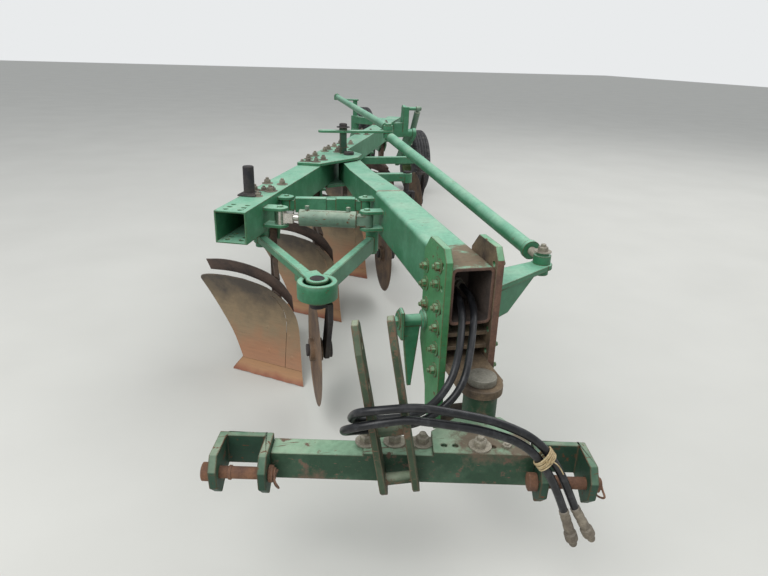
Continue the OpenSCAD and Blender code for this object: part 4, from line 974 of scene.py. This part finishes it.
# The board's two edges as (height, reach)
SHIN_EDGE = [(60, -8), (170, -8), (270, -4), (335, 12), (388, 45), (437, 95), (476, 160), (500, 262)]
WING_EDGE = [
    (60, 285), (170, 330), (270, 385), (390, 452), (430, 474), (455, 484), (474, 468), (490, 420),
    (500, 345),
]
PLOUGH_BOLTS = [(40, 110), (44, 210), (52, 300), (150, 120), (150, 235), (170, 350)]
BOLT_FACE = [(0, 10.5), (2.3, 10.5), (2.7, 9.6)]
SHARE_TOP = 59.4
# The cover board's two long edges as (reach, height)
COVER_LOW = [(14, 336), (48, 388), (98, 438), (160, 484), (250, 512), (330, 516), (427, 504)]
COVER_TOP = [(22, 428), (76, 508), (150, 562), (250, 592), (350, 596), (445, 572)]
COVER_BEHIND = 36.0
COVER_T = 7.0


def share_point(k):
    """The share point of bottom k, counted from 0."""
    leg = TUBE_START + (FIRST_LEG + LEG_STEP * k) * TUBE_WAY
    return np.array([leg[0] + 92, leg[1] - 500, 0.0])


def board_face(reach, height, behind=0.0):
    """A point of the board from its reach and height: a level cylinder along the share's edge.

    With n = hollow - R + sqrt((R + behind)^2 - (z - mid)^2) the distance ahead along the edge's
    normal, the place t along the edge gives the reach: x = n cos a - t sin a = -reach.
    """
    radius = BOARD_R + behind
    ahead = BOARD_HOLLOW - BOARD_R + np.sqrt(radius**2 - (height - BOARD_MID) ** 2)
    c, s = math.cos(SHARE_ANGLE), math.sin(SHARE_ANGLE)
    along = (ahead * c + reach) / s
    return np.stack([-reach, ahead * s + along * c, height], axis=-1)


def shell(front, back):
    """A closed sheet between two grids of points: both faces and the wall round their border."""
    rows, columns = front.shape[:2]
    index = np.arange(rows * columns).reshape(rows, columns)
    face = grid_faces(rows, columns)
    rim = np.concatenate([index[0], index[1:, -1], index[-1, -2::-1], index[-2:0:-1, 0]])
    after = np.roll(rim, -1)
    offset = rows * columns
    wall = np.stack([rim, rim + offset, after + offset, after], axis=1).tolist()
    faces = [f[::-1] for f in face] + [[v + offset for v in f] for f in face] + [w[::-1] for w in wall]
    return np.concatenate([front.reshape(-1, 3), back.reshape(-1, 3)]), faces


def sheet_of_board(left, right, heights, columns):
    """A sheet of the board's curve whose reach runs from left to right at each height."""
    u = np.linspace(0, 1, columns)[None, :]
    reach = left[:, None] * (1 - u) + right[:, None] * u
    height = np.broadcast_to(heights[:, None], reach.shape)
    return shell(board_face(reach, height), board_face(reach, height, BOARD_T))


def curve_through(heights, table):
    """Reach at the heights, on a smooth curve through the table's (height, reach) pairs."""
    path = smooth_path([(h, r, 0) for h, r in table], 12)
    return np.interp(heights, path[:, 0], path[:, 1])


def curve_points(table, steps, count):
    """Points picked at even steps from a smooth curve through the table's pairs."""
    path = smooth_path([(a, b, 0) for a, b in table], steps)
    return path[np.round(np.linspace(0, len(path) - 1, count)).astype(int)]


def make_board(k, at):
    """The moldboard in two parts with an open seam: the shin and the main board behind it."""
    low = np.linspace(BOARD_LOW, SEAM_TOP, 40)
    shin_left = curve_through(low, SHIN_EDGE)
    seam = shin_left + 82 - 0.11 * (low - 60)
    shin = sheet_of_board(shin_left, seam - SEAM_HALF, low, 14)
    high = np.concatenate([low, np.linspace(SEAM_TOP + SEAM_HALF, BOARD_TOP, 26)])
    left = curve_through(high, SHIN_EDGE)
    left[: len(low)] = seam + SEAM_HALF
    main = sheet_of_board(left, np.maximum(curve_through(high, WING_EDGE), left + 2), high, 44)
    parts = [moved(main, at), moved(shin, at)]
    name = "mouldboard_sheet_%d" % (k + 1)
    piece = make_piece(name, parts, board_steel, "frame", node="moldboard_%d" % (k + 1))
    round_edges(piece, width=1.6, angle=50)


def make_plough_bolts(k, at):
    """Flat heads that lie in the board's face, square to it, and stand 0.7 mm proud.

    The cylinder's normal there has the slope (z - mid) / R, and the rest of it is level.
    """
    heads = []
    for reach, z in PLOUGH_BOLTS:
        slope = (z - BOARD_MID) / BOARD_R
        level = math.sqrt(1 - slope**2)
        way = -np.array([math.cos(SHARE_ANGLE) * level, math.sin(SHARE_ANGLE) * level, slope])
        start = board_face(reach, z) + at - 2.0 * way
        heads.append(turned(start, way, BOLT_FACE, 18))
    make_piece("plough_bolts_%d" % (k + 1), heads, board_steel, "frame")


def make_share(k, at):
    """The share: the board's curve down to the ground, with an edge worn to a shallow wave."""
    z = np.linspace(0.0, SHARE_TOP, 12)
    points, faces = sheet_of_board(np.full(12, -8.0), 341 - 56 * z / 60, z, 60)
    wave = 2.4 * (1 + np.sin(0.031 * points[:, 0] + k) * np.cos(0.083 * points[:, 0] + 2 * k))
    points[:, 2] += wave * np.clip(1 - points[:, 2] / 30, 0, 1)
    name = "share_blade_%d" % (k + 1)
    blade = [moved((points, faces), at)]
    piece = make_piece(name, blade, share_steel, "frame", "shares")
    round_edges(piece, width=1.4, angle=50)


def make_cover(k, at):
    """The cover board: a rolled sheet with square ends, a little way behind the board's top edge."""
    low, top = curve_points(COVER_LOW, 10, 60), curve_points(COVER_TOP, 12, 60)
    t = np.linspace(0, 1, 16)[:, None, None]
    grid = low[None] * (1 - t) + top[None] * t
    reach, height = grid[..., 0], grid[..., 1]
    front, back = (board_face(reach, height, b) for b in (COVER_BEHIND, COVER_BEHIND + COVER_T))
    sheet = [moved(shell(front, back), at)]
    name = "cover_sheet_%d" % (k + 1)
    piece = make_piece(name, sheet, cover_steel, "frame", "cover_boards")
    round_edges(piece, width=1.4, angle=50)


for bottom in range(BOTTOMS):
    point = share_point(bottom)
    make_board(bottom, point)
    make_plough_bolts(bottom, point)
    make_share(bottom, point)
    make_cover(bottom, point)


# Tyres
RIM_R = 203.0
TYRE_STEPS = 300  # round the wheel


def wheel_points(hub, x, reach, turns):
    """Points round a wheel's axle: x along the axle and the reach square to it, at each turn."""
    x, reach, turns = np.broadcast_arrays(x, reach, turns)
    return np.stack(
        [hub[0] + x, hub[1] + reach * np.cos(turns), hub[2] + reach * np.sin(turns)], axis=-1
    )


def make_tyre(node, body, hub, radius, width, ribs):
    """A ribbed implement tyre: a turned profile whose crown is cut by grooves and short sipes.

    The profile runs over the crown from bead to bead. The grooves are 9 mm deep and waver by 4 mm
    round the wheel, and the sipes at the shoulders are 5 mm deep. Fine rings run round the side.
    """
    half = width / 2
    side = [
        (half - 25, RIM_R + 0.6), (half - 14, RIM_R + 14), (half - 5, RIM_R + 28),
        (half - 1.5, (RIM_R + radius) / 2), (half - 9, radius - 34), (half - 27, radius - 9),
        (half - 52, radius - 1.0),
    ]
    outline = [(x, r, 0.0) for x, r in side] + [(-x, r, 0.0) for x, r in side[::-1]]
    path = smooth_path(outline, 11)
    x = path[None, :, 0]
    r = np.minimum(path[None, :, 1], radius - 0.5)
    turns = np.linspace(0, 2 * math.pi, TYRE_STEPS, endpoint=False)[:, None]
    crown = np.clip((r - (radius - 22)) / 14, 0, 1)
    wave = 4.0 * np.abs((turns * 36 / math.pi) % 2 - 1) - 2.0
    pitch = (2 * half - 60) / ribs
    groove = np.clip(2.2 - np.abs(((x + wave) / pitch) % 1 - 0.5) * pitch / 2.6, 0, 1)
    sipe = np.clip(1.6 - np.abs((turns * 72 / math.pi) % 2 - 1) * 4.5, 0, 1)
    shoulder = np.clip((np.abs(x) - (half - 62)) / 12, 0, 1)
    side_rings = 0.72 * (np.cos((r - RIM_R) * 0.42) > 0.86) * (1 - crown)
    cut = crown * np.maximum(9 * groove * (1 - shoulder), 5 * sipe * shoulder)
    outer = wheel_points(hub, x, r - cut - side_rings, turns)
    seat = np.linspace(path[-1, 0], path[0, 0], 6)[None, 1:-1]
    inner = wheel_points(hub, seat, RIM_R + 0.5, turns)
    grid = np.concatenate([outer, inner], axis=1)
    faces = grid_faces(grid.shape[0], grid.shape[1], close_rows=True, close_columns=True)
    carcass = [(grid.reshape(-1, 3), faces)]
    make_piece(node + "_carcass", carcass, tyre_rubber, body, node, SMOOTH)


make_tyre("land_tyre", "land_wheel", LAND_HUB, radius=375, width=215, ribs=5)
make_tyre("rear_tyre", "rear_wheel", REAR_HUB, radius=390, width=180, ribs=4)


# Bolts and nuts
def make_bolts(name, places, body, finish):
    """One piece of many bolt heads: each place is (point, way) and the sizes of its bolt."""
    make_piece(name, [hexagon_bolt(*place) for place in places], finish, body, sharp=30)


PLATE_TOP = TUBE_TOP + 18
tube_bolts = [
    (on_tube(FIRST_LEG + LEG_STEP * leg + along, side), UP, *LEG_BOLT)
    for leg in range(BOTTOMS) for along in (-92, 92) for side in (-54, 30)
]
post_bolts = [(317, 12), (452, -9), (452, 40)]
tube_bolts += [(on_tube(along, side), UP, *POST_BOLT) for along, side in post_bolts]
plate_bolts = [
    (1265, -20), (1265, 34), (1350, -44), (1350, 58), (1490, -40), (1700, -30), (1700, 60),
    (1800, -30), (1800, 50),
]
tube_bolts += [(on_tube(along, side, PLATE_TOP), UP, *LEG_BOLT) for along, side in plate_bolts]
make_bolts("frame_bolts", tube_bolts, "frame", bolt_steel)

# Each place on the right cheek as (y, z), and whether the left cheek has that bolt too
CHEEK_PLACES = [
    (-2335, 950, True), (-2325, 885, True), (-2345, 805, False), (-2345, 730, False),
    (-2345, 650, True), (-2350, 570, True), (-2195, 905, True), (-2200, 840, False),
    (-2212, 765, False),
]
cheek_bolts = []
for y, z, on_both in CHEEK_PLACES:
    cheek_bolts.append(((-CHEEK_FACE, y, z), RIGHT, *CHEEK_BOLT))
    if on_both:
        cheek_bolts.append(((CHEEK_FACE, y, z), LEFT, *CHEEK_BOLT))
make_bolts("headstock_bolts", cheek_bolts, "beam", cheek_bolt_green)

bar_places = [(-367, -160, 484), (-280, -156, 484), (-194, -156, 484), (-20, -182, 496)]
bar_bolts = [(on_hitch(*place), UP, *BAR_BOLT) for place in bar_places]
bar_bolts.append((on_hitch(62, -180, 492), UP, *BAR_NUT))
make_bolts("crossbar_bolts", bar_bolts, "hitch", zinc_steel)

make_bolts("idler_nut", [((-30, 60, 1120), UP, *IDLER_NUT)], "frame", post_steel)

RIM_FACE = 14
NUT_CIRCLE = 96
for hub, body in ((LAND_HUB, "land_wheel"), (REAR_HUB, "rear_wheel")):
    spots = [
        (hub[0], hub[1] + NUT_CIRCLE * math.cos(t), hub[2] + NUT_CIRCLE * math.sin(t))
        for t in np.radians([-90 + 72 * k for k in range(5)])
    ]
    nuts = [((x + RIM_FACE, y, z), LEFT, *WHEEL_NUT) for x, y, z in spots]
    nuts += [((x + 1, y, z), RIGHT, *WHEEL_STUD) for x, y, z in spots]
    make_bolts(body + "_nuts", nuts, body, bolt_steel)


# Fittings, thread, weld and rings
# Hexagon and swaged collar where a hose leaves the beam's open end
FITTING = [
    (0, 15.5), (10, 15.5), (11, 17.4), (27, 17.4), (28, 14.5), (40, 14.5), (42, 15.4), (52, 15.4),
    (54, 13.2), (66, 13.2),
]
TIE_PIN = (394, -2106)
TIE_PIN_TOP = 905
TIE_START = np.array([*TIE_PIN, 875.3])
TIE_END = np.array([285, 45, 1067.7])
TIE_THREAD_R = 16.2
TIE_THREAD_PITCH = 5
THREAD_FROM = 30
THREAD_TO = 86
BEAM_SEAM = -1215.0
LINK_SPAN = 965.0
FITTINGS_AT = [(20, -2176, 835), (-20, -2176, 835)]
WELD_HALF = 66
WELD_Z = 954.5
WELD_R = 5.2


def make_fittings():
    """Both hoses' fittings in the beam's open end, which stay on the beam."""
    parts = [turned(place, (0, -1, 0), FITTING, 24) for place in FITTINGS_AT]
    make_piece("hose_fittings", parts, zinc_steel, "beam")


def make_tie_thread():
    """The tie's adjusting thread: its radius follows a triangle wave of the pitch along the rod."""
    way = (TIE_END - TIE_START) / np.linalg.norm(TIE_END - TIE_START)
    steps = np.arange(0, THREAD_TO - THREAD_FROM, TIE_THREAD_PITCH / 2)
    outline = [(d, TIE_THREAD_R + (0.9 if k % 2 else -0.4)) for k, d in enumerate(steps)]
    rod = turned(TIE_START + THREAD_FROM * way, way, outline, 20)
    make_piece("front_tie_thread", [rod], zinc_steel, "front_tie", sharp=25)


def make_weld():
    """The weld across the beam's top where its front tube meets the built-up part.

    A bead that wavers by 1.2 mm, and whose radius swells and thins by the size of a sine.
    """
    x = np.linspace(-WELD_HALF, WELD_HALF, 90)
    path = np.column_stack([x, BEAM_SEAM + 1.2 * np.sin(x * 0.9), np.full(90, WELD_Z)])
    bead = sweep(path, WELD_R + 0.9 * np.abs(np.sin(x * 0.55)), 10)
    make_piece("beam_weld", [bead], zinc_steel, "beam")


def make_pin_heads():
    """On each link pin: its head, a collar, a washer, and a linch ring as a closed curve of sines."""
    outer_head = (-112, [(0, 24), (2, 27.5), (24, 27.5), (27, 24)])
    collar = (86, [(0, 22), (1, 25.5), (12, 25.5), (14, 22)])
    washer = (-34, [(0, 18.6), (2, 21.4), (9, 21.4), (11, 18.6)])
    axis = on_hitch(1, 0, 0) - on_hitch(0, 0, 0)
    t = np.linspace(0, 2 * math.pi, 40)
    bow = np.column_stack([6 * np.sin(2 * t), 26 * np.cos(t), 26 * np.sin(t) - 20])
    parts = []
    for side in (-1, 1):
        middle = on_hitch(-255 + side * LINK_SPAN / 2, -257, 430)
        for start, outline in (outer_head, collar, washer):
            parts.append(turned(middle + axis * start, axis, outline, 28))
        parts.append(sweep(middle + axis * 106 + bow, 3.2, 8))
    make_piece("clevis_pin_heads", parts, plate_rust, "hitch")


make_fittings()
make_tie_thread()
tie_nut = [((*TIE_PIN, TIE_PIN_TOP), UP, *TIE_NUT)]
make_bolts("tie_pin_nut", tie_nut, "beam", zinc_steel)
make_weld()
make_pin_heads()


# Floor and light
def make_floor():
    """A plain pale floor, a little uneven in tone."""
    finish, tree, place = new_finish("pale_floor")
    cloud = add(tree, "TexNoise", {"Vector": place, "Scale": 1.3, "Detail": 6.0})
    colour = add(
        tree, "MixRGB", {"Fac": cloud, "Color1": linear("#C9C8C2"), "Color2": linear("#D6D5CF")}
    )
    shader = add(tree, "BsdfPrincipled", {"Base Color": colour, "Roughness": 0.9})
    add(tree, "OutputMaterial", {"Surface": shader})
    corners = [(-40, -40, 0), (40, -40, 0), (40, 60, 0), (-40, 60, 0)]
    new_object("floor", corners, [[0, 1, 2, 3]], finish)


def make_sky():
    """A soft sky that lights the plough, and shows itself to the camera as a pale backdrop."""
    world = bpy.data.worlds.new("soft_sky")
    bpy.context.scene.world = world
    world.use_nodes = True
    sky = world.node_tree
    sky.nodes.clear()
    seen = add(sky, "LightPath")
    light = add(sky, "Background", {"Color": linear("#F2F6FA"), "Strength": 0.62})
    shown = add(sky, "Background", {"Color": linear("#E9EBEC"), "Strength": 1.0})
    both = add(sky, "MixShader", {0: seen, 1: light, 2: shown})
    add(sky, "OutputWorld", {0: both})


def make_lamp(name, place, size, power):
    """A large soft square lamp that looks at the hitch."""
    data = bpy.data.lights.new(name, "AREA")
    data.shape = "SQUARE"
    data.size = size
    data.energy = power
    lamp = bpy.data.objects.new(name, data)
    bpy.context.scene.collection.objects.link(lamp)
    lamp.location = place
    aim = Vector((0.0, -1.0, 0.4)) - Vector(place)
    lamp.rotation_euler = aim.to_track_quat("-Z", "Y").to_euler()


make_floor()
make_sky()
make_lamp("soft_lamp_0", (-4.5, -5.5, 7.0), size=6.0, power=420.0)
make_lamp("soft_lamp_1", (5.0, 1.0, 8.0), size=7.0, power=360.0)
bpy.context.scene.view_settings.view_transform = "Standard"
